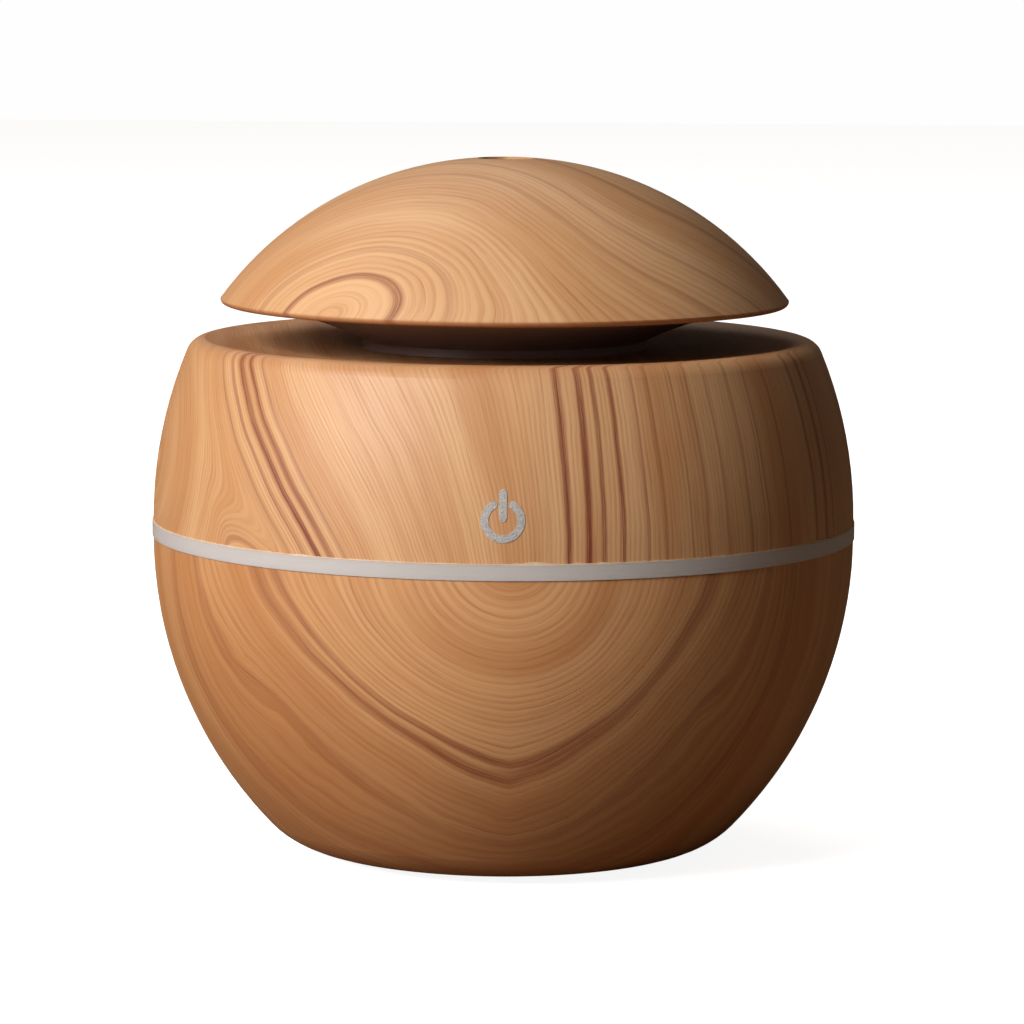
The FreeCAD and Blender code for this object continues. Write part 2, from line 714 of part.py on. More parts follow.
def make_lid_neck():
    """The dark trumpet under the dome: flare, foot, sealing spigot and the floor that holds the mist tube."""
    flare_top = f"{SEAT} + neck_lip"
    inner = "(neck_radius - spigot_wall / 2)"
    web = "(spigot_radius - spigot_wall)"
    tube_hole = "(mist_hole + tube_wall + slip)"
    groove_low, groove_high = (f"{DISH} - seal_depth {sign} (seal_cord + groove_room)" for sign in "-+")
    groove = "(mouth_radius - seal_clearance - 2 * seal_cord - groove_clearance)"
    piece = Piece("lid_neck")
    piece.turn([
        (tube_hole, SEAT),
        (web, SEAT),
        (web, f"{DISH} - spigot_depth"),
        ("spigot_radius", f"{DISH} - spigot_depth"),
        ("spigot_radius", groove_low),
        (groove, groove_low),
        (groove, groove_high),
        ("spigot_radius", groove_high),
        ("spigot_radius", SEAT),
        ("neck_radius", SEAT),
        ("neck_radius", flare_top),
        (f"{DOME_SEAT} - slip", RIM, "flare_arc", -1),
        (f"{DOME_SEAT} - slip", f"{RIM} + 0.9 * flare_edge"),
        (inner, f"{flare_top} + flare_edge", "flare_arc", 1),
        (inner, f"{SEAT} + neck_floor"),
        (tube_hole, f"{SEAT} + neck_floor"),
    ])
    keep("lid_neck", piece.body)


def make_mist_tube():
    """The tube that carries mist from the tank's mouth to the hole in the dome."""
    outer = "(mist_hole + tube_wall)"
    flange_low = f"{SEAT} + neck_floor"
    top = f"{crown_level(outer, 'dome_wall')} - slip"
    piece = Piece("mist_tube")
    piece.turn([
        ("mist_hole", f"{SEAT} - tube_drop"),
        (outer, f"{SEAT} - tube_drop"),
        (outer, flange_low),
        (f"{outer} + tube_flange", flange_low),
        (f"{outer} + tube_flange", f"{flange_low} + 1"),
        (outer, f"{flange_low} + 1"),
        (outer, top),
        ("mist_hole", top),
    ])
    keep("mist_tube", piece.body)


def make_lid_seal():
    """The round silicone seal in the spigot's groove."""
    made = doc.addObject("Part::Torus", "Seal")
    made.setExpression("Radius1", bound("mouth_radius - seal_clearance - seal_cord"))
    made.setExpression("Radius2", bound("seal_cord"))
    keep("lid_seal", place(made, ("0", "0", f"{DISH} - seal_depth")))


# ---------------------------------------------------------------- the water tank


def wire_gap(piece, low, high):
    """A notch at the front of a flange, where the touch key's wires pass down."""
    drawn = piece.sketch(level=high)
    piece.box(drawn, "-wire_notch / 2", "-flange_radius - 1", "wire_notch / 2", "-flange_radius + 3.4")
    piece.sink_from(drawn, f"{high} - ({low})")


def make_tank_bowl():
    """The white cup that holds the water, with its split flange, atomizer seat, stand pipe and pillars."""
    outer = "(tank_radius + tank_wall)"
    seal_in = "(tank_radius + seal_seat)"
    groove = f"{SPLIT} - tank_seal_height"
    cup_out = "(gasket_radius + cup_wall)"
    piece = Piece("tank_bowl")
    piece.turn([
        ("plate_hole", "tank_floor"),
        ("tank_radius - tank_fillet", "tank_floor"),
        ("tank_radius", "tank_floor + tank_fillet", "tank_fillet", 1),
        ("tank_radius", SPLIT),
        (seal_in, SPLIT),
        (seal_in, groove),
        (f"{seal_in} + tank_seal_width", groove),
        (f"{seal_in} + tank_seal_width", SPLIT),
        ("flange_radius", SPLIT),
        ("flange_radius", "flange_low"),
        (outer, "flange_low"),
        (outer, "tank_floor + tank_fillet"),
        ("tank_radius - tank_fillet", TANK_UNDER, "tank_fillet + tank_wall", -1),
        (cup_out, TANK_UNDER),
        (cup_out, CUP_LOW),
        ("gasket_radius", CUP_LOW),
        ("gasket_radius", TANK_UNDER),
        ("plate_hole", TANK_UNDER),
    ])
    piece.posts(CASE_POSTS, "post_radius", f"{POST_TOP} + slip", TANK_UNDER)
    piece.drill(CASE_POSTS, "case_screw", f"{POST_TOP} + slip", f"{POST_TOP} + case_hole")
    piece.posts(BOARD_POSTS, "board_post", BOARD_TOP, TANK_UNDER)
    piece.drill(BOARD_POSTS, "small_screw", BOARD_TOP, f"{BOARD_TOP} + board_hole")
    piece.posts(LED_POSTS, "board_post", LED_BOARD_TOP, "flange_low")
    piece.drill(LED_POSTS, "small_screw", LED_BOARD_TOP, "flange_low + 0.6")
    piece.drill(TANK_POSTS, SMALL_BORE, "flange_low", SPLIT)
    piece.drill(CUP_POSTS, "small_screw", CUP_LOW, f"{CUP_LOW} + 0.85 * cup_depth")
    piece.posts([PIPE], "pipe_bore + pipe_wall", f"{TANK_UNDER} - socket_depth", "pipe_top")
    piece.drill([PIPE], "pipe_bore", f"{TANK_UNDER} - socket_depth", "pipe_top")
    wire_gap(piece, "flange_low", SPLIT)
    keep("tank_bowl", piece.body)


def make_tank_shoulder():
    """The tank's upper half: flange, wall, rounded shoulder and the collar that the lid plugs into."""
    outer = "(tank_radius + tank_wall)"
    inner_arc = "(shoulder_arc - tank_wall)"
    piece = Piece("tank_shoulder")
    piece.turn([
        ("tank_radius", SPLIT),
        ("flange_radius", SPLIT),
        ("flange_radius", FLANGE_TOP),
        (outer, FLANGE_TOP),
        (outer, "shoulder_top"),
        ("shoulder_in", COLLAR_TOP, "shoulder_arc", 1),
        ("mouth_radius", COLLAR_TOP),
        ("mouth_radius", f"{COLLAR_TOP} - collar_depth"),
        ("mouth_radius + tank_wall", f"{COLLAR_TOP} - collar_depth"),
        ("mouth_radius + tank_wall", f"{COLLAR_TOP} - tank_wall"),
        ("shoulder_in - 0.6", f"{COLLAR_TOP} - tank_wall"),
        ("tank_radius", "shoulder_top - 0.2", inner_arc, -1),
    ])
    piece.drill(TANK_POSTS, SMALL_BORE, SPLIT, FLANGE_TOP)
    wire_gap(piece, SPLIT, FLANGE_TOP)
    pad = piece.sketch(level="touch_high - touch_tall / 2 + 1")
    piece.box(pad, "-touch_width / 2", "-touch_face", "touch_width / 2", "-tank_radius - 0.4 * tank_wall")
    piece.raise_from(pad, "touch_tall - 2")
    keep("tank_shoulder", piece.body)


def flat_ring(label, inner, outer, low, high):
    """A plain ring of rectangular section."""
    piece = Piece(label)
    piece.turn([(inner, low), (outer, low), (outer, high), (inner, high)])
    keep(label, piece.body)


def make_seals():
    """The seal between the tank's halves, the gasket under the dish, and the screws that close the tank."""
    seal_in = "tank_radius + seal_seat"
    flat_ring("tank_seal", seal_in, f"{seal_in} + tank_seal_width", f"{SPLIT} - tank_seal_height", SPLIT)
    flat_ring("mouth_gasket", "mouth_hole + 0.4", "dish_flat_radius - 2", COLLAR_TOP, DISH_UNDER)
    held = screws("tank_screws", TANK_POSTS, "small_screw", "small_head", "flange_low - head_thick",
                  "head_thick", f"{FLANGE_TOP} + screw_bite")
    keep("tank_screws", held.body)


def make_atomizer():
    """The ceramic disc in its silicone ring, and the plate that presses them into the cup."""
    disc_low = f"({DISC_TOP} - disc_thick)"
    gasket = Piece("atomizer_gasket")
    gasket.turn([
        ("plate_hole", CUP_LOW),
        ("gasket_radius", CUP_LOW),
        ("gasket_radius", TANK_UNDER),
        ("plate_hole", TANK_UNDER),
        ("plate_hole", DISC_TOP),
        ("disc_radius", DISC_TOP),
        ("disc_radius", disc_low),
        ("plate_hole", disc_low),
    ])
    keep("atomizer_gasket", gasket.body)
    keep("atomizer_disc", cylinder("disc_radius", "disc_thick", ("0", "0", disc_low)))
    retainer = Piece("atomizer_retainer")
    retainer.turn([
        ("plate_hole", RETAINER_LOW),
        ("gasket_radius + cup_wall", RETAINER_LOW),
        ("gasket_radius + cup_wall", CUP_LOW),
        ("plate_hole", CUP_LOW),
    ])
    retainer.drill(CUP_POSTS, SMALL_BORE, RETAINER_LOW, CUP_LOW)
    keep("atomizer_retainer", retainer.body)
    held = screws("retainer_screws", CUP_POSTS, "small_screw", "cup_wall / 2", f"{RETAINER_LOW} - thin_head",
                  "thin_head", f"{CUP_LOW} + 0.75 * cup_depth", recess="0.45 * thin_head")
    keep("retainer_screws", held.body)


# ---------------------------------------------------------------- the air path


def make_air_duct():
    """The hood over the fan and the slanting pipe that carries its air to the stand pipe."""
    pipe = "(pipe_bore - slip)"
    piece = Piece("air_duct")
    plate = piece.sketch(level=FAN_TOP)
    half = "fan_size / 2"
    piece.box(plate, f"-{half}", f"-{half}", half, half)
    piece.raise_from(plate, "hood_plate")

    def taper(kind, inset, low, high):
        sections = []
        for level, spot, radius in ((low, ("0", "0"), "hood_radius"), (high, PIPE, pipe)):
            drawn = piece.sketch(level=level)
            piece.circle(drawn, *spot, f"{radius} - {inset}")
            sections.append(drawn)
        made = piece.body.newObject(f"PartDesign::{kind}Loft", piece.label + "_taper")
        made.Profile = sections[0]
        made.Sections = sections[1:]
        made.Ruled = True
        doc.recompute()

    taper("Additive", "0", HOOD_TOP, DUCT_TOP)
    pipe_end = f"{TANK_UNDER} - duct_wall"
    piece.posts([PIPE], pipe, DUCT_TOP, pipe_end)
    taper("Subtractive", "duct_wall", HOOD_TOP, DUCT_TOP)
    piece.drill([("0", "0")], "hood_radius - duct_wall", FAN_TOP, HOOD_TOP)
    piece.drill([PIPE], f"{pipe} - duct_wall", DUCT_TOP, pipe_end)
    piece.drill(FAN_POSTS, SMALL_BORE, FAN_TOP, HOOD_TOP)
    keep("air_duct", piece.body)


def make_duct_cap():
    """The cap that keeps water out of the stand pipe: a plug with windows under a disc."""
    plug = "(pipe_bore - slip)"
    piece = Piece("duct_cap")
    piece.posts([PIPE], plug, "pipe_top - plug_depth", "pipe_top + cap_gap")
    piece.posts([PIPE], "cap_radius", "pipe_top + cap_gap", "pipe_top + cap_gap + cap_thick")
    piece.drill([PIPE], f"{plug} - duct_wall", "pipe_top - plug_depth", "pipe_top + cap_gap")
    drawn = piece.sketch(level="pipe_top + cap_gap")
    x, y = PIPE
    reach, half = "(pipe_bore + 1)", "pipe_bore / 2"
    piece.box(drawn, f"{x} - {reach}", f"{y} - {half}", f"{x} + {reach}", f"{y} + {half}")
    piece.sink_from(drawn, "0.9 * cap_gap")
    keep("duct_cap", piece.body)


# ---------------------------------------------------------------- the fan


HUB_LOW = f"({FLOOR_TOP} + hub_lift)"
MOTOR_LOW = f"({FAN_TOP} - strut_thick)"
HUB_HIGH = f"({MOTOR_LOW} - 2 * blade_inset)"
CORE_LOW = f"({FLOOR_TOP} + core_lift)"
BEARING_OUT = "(shaft_radius + shaft_clearance + bearing_wall)"
CORE_IN = f"({BEARING_OUT} + bearing_tube)"
MAGNET_OUT = "(hub_radius - hub_wall)"
CENTRE = ("0", "0")


def make_fan_frame():
    """The square housing, with the motor's plate held by three struts, and the tube for the bearing."""
    piece = Piece("fan_frame")
    drawn = piece.sketch(level=FLOOR_TOP)
    half = "fan_size / 2"
    piece.box(drawn, f"-{half}", f"-{half}", half, half)
    piece.circle(drawn, *CENTRE, "fan_bore")
    for x, y in ALL_FAN_HOLES:
        piece.circle(drawn, x, y, SMALL_BORE)
    piece.raise_from(drawn, "fan_height")
    piece.posts([CENTRE], "hub_radius", MOTOR_LOW, FAN_TOP)
    strut = piece.sketch(level=MOTOR_LOW)
    piece.box(strut, "hub_radius - hub_wall", "-strut_wide / 2", "fan_bore + fan_rim / 4", "strut_wide / 2")
    piece.pattern(piece.raise_from(strut, "strut_thick"), 3)
    piece.posts([CENTRE], CORE_IN, f"{FLOOR_TOP} + bearing_lift", MOTOR_LOW)
    piece.drill([CENTRE], BEARING_OUT, f"{FLOOR_TOP} + bearing_lift", MOTOR_LOW)
    keep("fan_frame", piece.body)
    held = screws("fan_screws", FAN_POSTS, "small_screw", "small_head", HOOD_TOP, "head_thick",
                  f"{FLOOR_TOP} - 0.7 * floor_thick")
    keep("fan_screws", held.body)


def make_motor():
    """Inside the hub: the bearing and shaft, a four-pole core, a coil on each pole and the magnet."""
    flat_ring("fan_bearing", "shaft_radius + shaft_clearance", BEARING_OUT,
              f"{FLOOR_TOP} + bearing_lift + blade_inset", MOTOR_LOW)
    shaft_low = f"({HUB_LOW} + hub_wall / 2)"
    keep("fan_shaft", cylinder("shaft_radius", f"{MOTOR_LOW} - 1.5 * blade_inset - {shaft_low}",
                               ("0", "0", shaft_low)))
    core = Piece("fan_stator")
    core.turn([
        (CORE_IN, CORE_LOW),
        (f"{CORE_IN} + core_ring", CORE_LOW),
        (f"{CORE_IN} + core_ring", f"{CORE_LOW} + core_thick"),
        (CORE_IN, f"{CORE_LOW} + core_thick"),
    ])
    pole_start, shoe_start = f"{CORE_IN} + core_ring / 2", "stator_radius - 0.5 - shoe_thick"
    for start, end, wide in ((pole_start, f"{shoe_start} + shoe_thick / 2", "pole_wide"),
                             (shoe_start, f"{shoe_start} + shoe_thick", "shoe_wide")):
        drawn = core.sketch(level=CORE_LOW)
        core.box(drawn, start, f"-{wide} / 2", end, f"{wide} / 2")
        core.pattern(core.raise_from(drawn, "core_thick"), 4)
    keep("fan_stator", core.body)
    coils = []
    for quarter in range(4):
        middle = f"{CORE_IN} + core_ring + 0.05 + coil_long / 2"
        outside = radial_block("coil_long", "coil_wide", "coil_tall", 90 * quarter, middle,
                               f"{CORE_LOW} - (coil_tall - core_thick) / 2")
        inside = radial_block("2 * coil_long", "pole_wide", "core_thick", 90 * quarter, middle, CORE_LOW)
        coils.append(carved("stator_coil", outside, inside))
    keep("stator_coils", grouped("stator_coils", coils))
    flat_ring("rotor_magnet", f"{MAGNET_OUT} - magnet_wall", MAGNET_OUT, f"{HUB_LOW} + hub_wall", HUB_HIGH)


def make_fan_rotor():
    """The hub cup with its seven slanted blades."""
    piece = Piece("fan_rotor")
    piece.turn([
        ("shaft_radius", HUB_LOW),
        ("hub_radius", HUB_LOW),
        ("hub_radius", HUB_HIGH),
        (MAGNET_OUT, HUB_HIGH),
        (MAGNET_OUT, f"{HUB_LOW} + hub_wall"),
        ("shaft_radius", f"{HUB_LOW} + hub_wall"),
    ])
    low, high = f"{HUB_LOW} + blade_inset", f"{HUB_HIGH} - blade_inset"
    sections = []
    for reach, chord in (("hub_radius - hub_wall / 2", "blade_root"), ("blade_tip", "blade_end")):
        drawn = piece.sketch("YZ_Plane", reach)
        piece.outline(drawn, [
            (f"-{chord}", low),
            (f"blade_thick - {chord}", low),
            (chord, high),
            (f"{chord} - blade_thick", high),
        ])
        sections.append(drawn)
    blade = piece.body.newObject("PartDesign::AdditiveLoft", "fan_blade")
    blade.Profile = sections[0]
    blade.Sections = sections[1:]
    blade.Ruled = True
    doc.recompute()
    piece.pattern(blade, 7)
    keep("fan_rotor", piece.body)


# ---------------------------------------------------------------- the base


def make_base_cover():
    """The round plate underneath: air slots, sunk screws and four feet."""
    piece = Piece("base_cover")
    disc = piece.sketch(level=BASE)
    piece.circle(disc, "0", "0", "cover_radius")
    piece.raise_from(disc, "cover_thick")
    slot = piece.sketch(level=COVER_TOP)
    half = "slot_width / 2"
    piece.outline(slot, [
        ("slot_end", f"-{half}"),
        ("slot_end", half, f"{half} * 1.02", 1),
        ("slot_start", half),
        ("slot_start", f"-{half}", f"{half} * 1.02", 1),
    ])
    piece.pattern(piece.sink_from(slot, "cover_thick"), 10)
    piece.drill(CASE_POSTS, CASE_BORE, BASE, COVER_TOP)
    piece.drill(CASE_POSTS, "case_head + hole_clearance", BASE, f"{BASE} + 0.6 * cover_thick")
    feet = around("foot_ring", (45, 135, 225, 315))
    piece.drill(feet, "foot_radius", BASE, f"{BASE} + foot_sunk")
    keep("base_cover", piece.body)
    pads = Piece("rubber_feet")
    pads.posts(feet, "foot_radius", "0", f"{BASE} + foot_sunk")
    doc.recompute()
    keep("rubber_feet", pads.body)
    held = screws("case_screws", CASE_POSTS, "case_screw", "case_head", f"{BASE} + 0.05 * cover_thick",
                  "0.55 * cover_thick", f"{POST_TOP} + 0.9 * case_hole", recess="0.6")
    keep("case_screws", held.body)


# ---------------------------------------------------------------- circuit boards and what sits on them

CONNECTORS = {
    # angle round Z of each plug's place on the underside of the control board
    "power": 62,
    "fan": -25,
    "piezo": -68,
    "touch": -97,
    "led": 205,
}
CONNECTOR_RING = 26.5
SOCKET_TALL = 4.4


def hung(level_drop):
    """A level this far under the control board."""
    return f"board_low - ({level_drop})"


def make_control_board():
    """The round board that hangs from the tank's pillars, with holes for what passes through it."""
    piece = Piece("control_board")
    disc = piece.sketch(level="board_low")
    piece.circle(disc, *CENTRE, "board_radius")
    piece.raise_from(disc, "board_thick")
    piece.drill(CASE_POSTS, "post_radius + 2 * hole_clearance", "board_low", BOARD_TOP)
    piece.drill(BOARD_POSTS, SMALL_BORE, "board_low", BOARD_TOP)
    piece.drill([PIPE], "pipe_bore + 0.6", "board_low", BOARD_TOP)
    piece.drill([CENTRE], "5", "board_low", BOARD_TOP)
    keep("control_board", piece.body)
    held = screws("board_screws", BOARD_POSTS, "small_screw", "small_head", hung("head_thick"),
                  "head_thick", f"{BOARD_TOP} + 0.9 * board_hole")
    keep("board_screws", held.body)


def make_choke():
    """The drive choke: a drum core with its winding between the flanges."""
    angle, ring, tall, flange = 37, 15, 6.4, 1
    flange_radius, core_radius, winding_radius = 3.8, 2, 3.4
    low, coil, high = (at(angle, ring, hung(drop)) for drop in (tall, tall - flange, flange))
    drum = [cylinder(flange_radius, flange, low), cylinder(core_radius, tall, low),
            cylinder(flange_radius, flange, high)]
    keep("drive_choke", joined("choke", drum))
    window = tall - 2 * flange
    around_core, core = cylinder(winding_radius, window, coil), cylinder(core_radius, window, coil)
    keep("choke_winding", carved("winding", around_core, core))


def make_board_parts():
    """What else hangs under the board: filter capacitors, the drive transistor, the chip and the sockets."""
    cans = [cylinder(radius, tall, at(angle, ring, hung(tall)))
            for radius, tall, angle, ring in ((2.5, 7, 20, 26), (2.5, 7, 160, 26), (2, 5, -45, 17))]
    keep("filter_capacitors", grouped("cans", cans))

    tab_thick, case_thick = 0.8, 1.6
    tab = radial_block(6.4, 5, tab_thick, 0, 26, hung(tab_thick))
    case = radial_block(5, 6, case_thick, 0, 25.6, hung(tab_thick + case_thick))
    keep("drive_transistor", joined("transistor", [tab, case]))

    angle, ring, leg_pitch, leg_tall, lift = 232, 18.5, 1.27, 0.8, 0.2
    parts = [radial_block(5.2, 4, 1.6, angle, ring, hung(1.6 + lift))]
    for index in range(4):
        leg_ring = ring + leg_pitch * (index - 1.5)
        parts.append(radial_block(0.4, 6, leg_tall, angle, leg_ring, hung(leg_tall)))
    keep("controller_chip", joined("chip", parts))

    housings = []
    for angle in CONNECTORS.values():
        shell = radial_block(4.6, 6, SOCKET_TALL, angle, CONNECTOR_RING, hung(SOCKET_TALL))
        mouth = radial_block(2.6, 4.4, 3.2, angle, CONNECTOR_RING, hung(SOCKET_TALL))
        housings.append(carved("housing", shell, mouth))
    keep("wire_connectors", grouped("connectors", housings))


def make_led_board():
    """The ring of lamps under the light ring's lip."""
    piece = Piece("led_board")
    piece.turn([
        ("led_board_in", "led_board_low"),
        ("flange_radius", "led_board_low"),
        ("flange_radius", LED_BOARD_TOP),
        ("led_board_in", LED_BOARD_TOP),
    ])
    piece.drill(LED_POSTS, SMALL_BORE, "led_board_low", LED_BOARD_TOP)
    wire_gap(piece, "led_board_low", LED_BOARD_TOP)
    keep("led_board", piece.body)
    ring = "flange_radius - led_size / 2 - 0.2"
    lamps = [radial_block("led_size", "led_size", "led_thick", angle, ring, LED_BOARD_TOP)
             for angle in range(22, 360, 45)]
    keep("led_lamps", grouped("lamps", lamps))
    held = screws("led_screws", LED_POSTS, "small_screw", "small_head", "led_board_low - thin_head",
                  "thin_head", "flange_low", recess="0.45 * thin_head")
    keep("led_screws", held.body)


def make_touch_key():
    """The touch sensor behind the printed key: a small board and the spring that reaches the shell."""
    board = Piece("touch_board")
    drawn = board.sketch(level="touch_high - touch_tall / 2")
    board.box(drawn, "-touch_width / 2", "-touch_face - touch_board", "touch_width / 2", "-touch_face")
    board.raise_from(drawn, "touch_tall")
    doc.recompute()
    keep("touch_board", board.body)
    turns = 4
    wire, coil = number("spring_wire"), number("spring_radius")
    start = number("touch_face + touch_board") + wire
    inside = "(upper_arc - shell_wall)"
    reach = number(f"shell_radius - upper_arc + sqrt({inside}^2 - (touch_rise + spring_radius + 0.4)^2)")
    rise = reach - wire - 0.05 - start
    helix = Part.makeHelix(rise / turns, rise, coil)
    ring = Part.Wire(Part.makeCircle(wire, FreeCAD.Vector(coil, 0, 0), FreeCAD.Vector(0, 1, 0)))
    spring = doc.addObject("Part::Feature", "Spring")
    spring.Shape = Part.Wire(helix.Edges).makePipeShell([ring], True, True)
    spring.Placement = FreeCAD.Placement(FreeCAD.Vector(0, -start, number("touch_high")), FRONT)
    keep("touch_spring", spring)


# ---------------------------------------------------------------- the power inlet


def make_power_inlet():
    """A round low-voltage jack behind the recess, with its centre pin and solder tags."""
    front = "(recess_floor - recess_wall)"
    back = f"({front} - jack_long)"
    case = Piece("dc_jack")
    drawn = case.sketch("XZ_Plane", f"-{front}")
    low, high = "jack_high - jack_tall / 2", "jack_high + jack_tall / 2"
    case.box(drawn, "-jack_width / 2", low, "jack_width / 2", high)
    case.raise_from(drawn, "jack_long")
    nose = case.sketch("XZ_Plane", f"-{front}")
    case.circle(nose, "0", "jack_high", "nose_radius")
    case.raise_from(nose, "recess_wall - 0.2", down=True)
    bore = case.sketch("XZ_Plane", f"-{front} - recess_wall + 0.2")
    case.circle(bore, "0", "jack_high", "jack_bore")
    case.sink_from(bore, "jack_long - 1.2 + recess_wall - 0.2", up=True)
    keep("dc_jack", case.body)
    pin_tip = ("0", "recess_floor - 1.2", "jack_high")
    keep("jack_pin", cylinder("0.65", "jack_long + recess_wall - 2.4", pin_tip, FRONT))
    tags = [block("0.8", "2", "0.3", (x, f"{back} - 2", z))
            for x, z in (("-2.4", "jack_high - 1.8"), ("1.6", "jack_high - 1.8"))]
    keep("jack_tags", grouped("tags", tags))


# ---------------------------------------------------------------- the leads inside


def route_wire(points):
    """Straight runs joined by tangent arcs, each arc as large as its two runs allow."""
    edges, radii, start = [], [], points[0]
    for before, corner, after in zip(points, points[1:], points[2:]):
        back, on = before - corner, after - corner
        turn = math.pi - back.getAngle(on)
        reach = 0.45 * min(back.Length, on.Length)
        back.normalize()
        on.normalize()
        radii.append(reach / math.tan(turn / 2))
        inward = (back + on).normalize()
        dip = radii[-1] / math.cos(turn / 2) - radii[-1]
        enter, leave = corner + back * reach, corner + on * reach
        edges.append(Part.LineSegment(start, enter).toShape())
        edges.append(Part.Arc(enter, corner + inward * dip, leave).toShape())
        start = leave
    edges.append(Part.LineSegment(start, points[-1]).toShape())
    return Part.Wire(edges), radii


def make_lead(label, points, beside):
    """A pair of insulated wires side by side along one route."""
    radius = number("wire_radius")
    aside = FreeCAD.Vector(*beside).normalize() * number("wire_pitch")
    solids = []
    for side in (-1, 1):
        path, radii = route_wire([point + aside * side for point in points])
        heading = points[1] - points[0]
        section = Part.Wire(Part.makeCircle(radius, points[0] + aside * side, heading))
        solid = path.makePipeShell([section], True, False)
        expected = math.pi * radius**2 * path.Length
        assert abs(solid.Volume / expected - 1) < 0.02, label + ": the sweep lost its section"
        solids.append(solid)
    print(label, "length %.1f mm," % path.Length, "radii", [round(r, 1) for r in radii])
    lead = doc.addObject("Part::Feature", "Lead")
    lead.Shape = Part.Compound(solids)
    keep(label, lead)


def spot(x, y, z):
    return FreeCAD.Vector(number(x), number(y), number(z))


def polar(angle, ring, level):
    return spot(*at(angle, ring, level))


def make_leads():
    """The leads from each part to its plug under the control board."""
    plug = "board_low - 2.6"
    plug_end = hung(SOCKET_TALL + 0.3)
    ring = f"({CONNECTOR_RING} + 2.3)"
    inner = f"({CONNECTOR_RING} - 2.3)"
    back = "(recess_floor - recess_wall - jack_long)"
    angle = CONNECTORS["power"]
    make_lead("power_lead", [
        spot("1.7", f"{back} - 1.3", "jack_high - 2.35"),
        spot("5", f"{back} - 1.3", "jack_high - 3.6"),
        spot("9", f"{back} - 1.6", "jack_high - 3.4"),
        spot("12", f"{back} - 2.2", "jack_high - 1.4"),
        polar(angle, CONNECTOR_RING, plug_end),
    ], (0, 1, 0))
    angle = CONNECTORS["fan"]
    make_lead("fan_lead", [
        spot("fan_size / 2 + 0.2", "-6", f"{FAN_TOP} - 2"),
        spot("fan_size / 2 + 3.5", "-7", f"{FAN_TOP} - 2"),
        spot("fan_size / 2 + 7", "-9", f"{FAN_TOP} + 0.5"),
        polar(angle, CONNECTOR_RING, plug_end),
    ], (0, 1, 0))
    angle = CONNECTORS["piezo"]
    make_lead("atomizer_lead", [
        spot("0.8", "-2", f"{DISC_TOP} - disc_thick - 0.1"),
        spot("0.8", "-2.4", f"{RETAINER_LOW} - 1"),
        spot("1.6", "-4", "board_low - 3"),
        spot("4.4", "-10", "board_low - 4"),
        polar(angle, f"{inner} - 0.3", plug),
    ], (1, 0, 0))
    angle = CONNECTORS["led"]
    make_lead("led_lead", [
        polar(angle, "flange_radius - 2.4", "led_board_low - 0.1"),
        polar(angle, "flange_radius - 2.6", "led_board_low - 7"),
        polar(angle, "flange_radius - 4.6", "led_board_low - 13"),
        polar(angle, "flange_radius - 10", f"{plug} + 2.5"),
        polar(angle, f"{ring} + 0.3", plug),
    ], (-math.sin(math.radians(angle)), math.cos(math.radians(angle)), 0))
    angle = CONNECTORS["touch"]
    make_lead("touch_lead", [
        spot("0", "-touch_face - 0.5", "touch_high - touch_tall / 2 - 0.1"),
        spot("0", "-touch_face - 0.7", "led_board_low"),
        spot("0", "-touch_face - 0.2", "led_board_low - 8"),
        spot("-1.2", "-touch_face + 3.6", "led_board_low - 14"),
        polar(angle, "board_radius + 3.5", f"{plug} + 1"),
        polar(angle, f"{ring} + 0.3", plug),
    ], (1, 0, 0))


# ---------------------------------------------------------------- build, check, write

make_lower_shell()
make_inlet_sleeve()
make_upper_shell()
make_light_ring()
make_power_icon()
make_lid_dome()
make_lid_neck()
make_mist_tube()
make_lid_seal()
make_tank_bowl()
make_tank_shoulder()
make_seals()
make_atomizer()
make_air_duct()
make_duct_cap()
make_fan_frame()
make_motor()
make_fan_rotor()
make_base_cover()
make_control_board()
make_choke()
make_board_parts()
make_led_board()
make_touch_key()
make_power_inlet()
make_leads()

doc.recompute()
for made in doc.Objects:
    assert not {"Invalid", "Error"} & set(made.State), made.Label + " failed"
labels = [made.Label for made in NODES]
assert len(set(labels)) == len(labels), "two pieces share a name"
for made in NODES:
    assert not made.Shape.isNull() and made.Shape.isValid(), made.Label + " has no valid shape"
    assert made.Shape.Solids, made.Label + " has no solid"
for made in NODES:
    made.Shape.exportStep(f"parts/{made.Label}.step")
box = Part.Compound([made.Shape for made in NODES]).BoundBox
size = f"{box.XLength:.2f} x {box.YLength:.2f} x {box.ZLength:.2f}"
print(f"{len(NODES)} nodes, {size} mm, lowest {box.ZMin:.2f}")
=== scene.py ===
# %% [markdown]
# # A ball-shaped mist diffuser
# This lesson dresses a small desk diffuser: a ball about 100 mm across in two printed wood-look shells, a
# milky light band at its waist, and a mushroom lid with a dark neck. The engineering model already holds
# every real part at its true size. So the first step only loads that model and notes its box, and each
# later step gives one piece its surface, or adds a detail that is too slight to be machined but catches the
# eye.

# %% Load the frame
import math

import bmesh
import bpy
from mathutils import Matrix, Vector
from mathutils import noise as still_noise


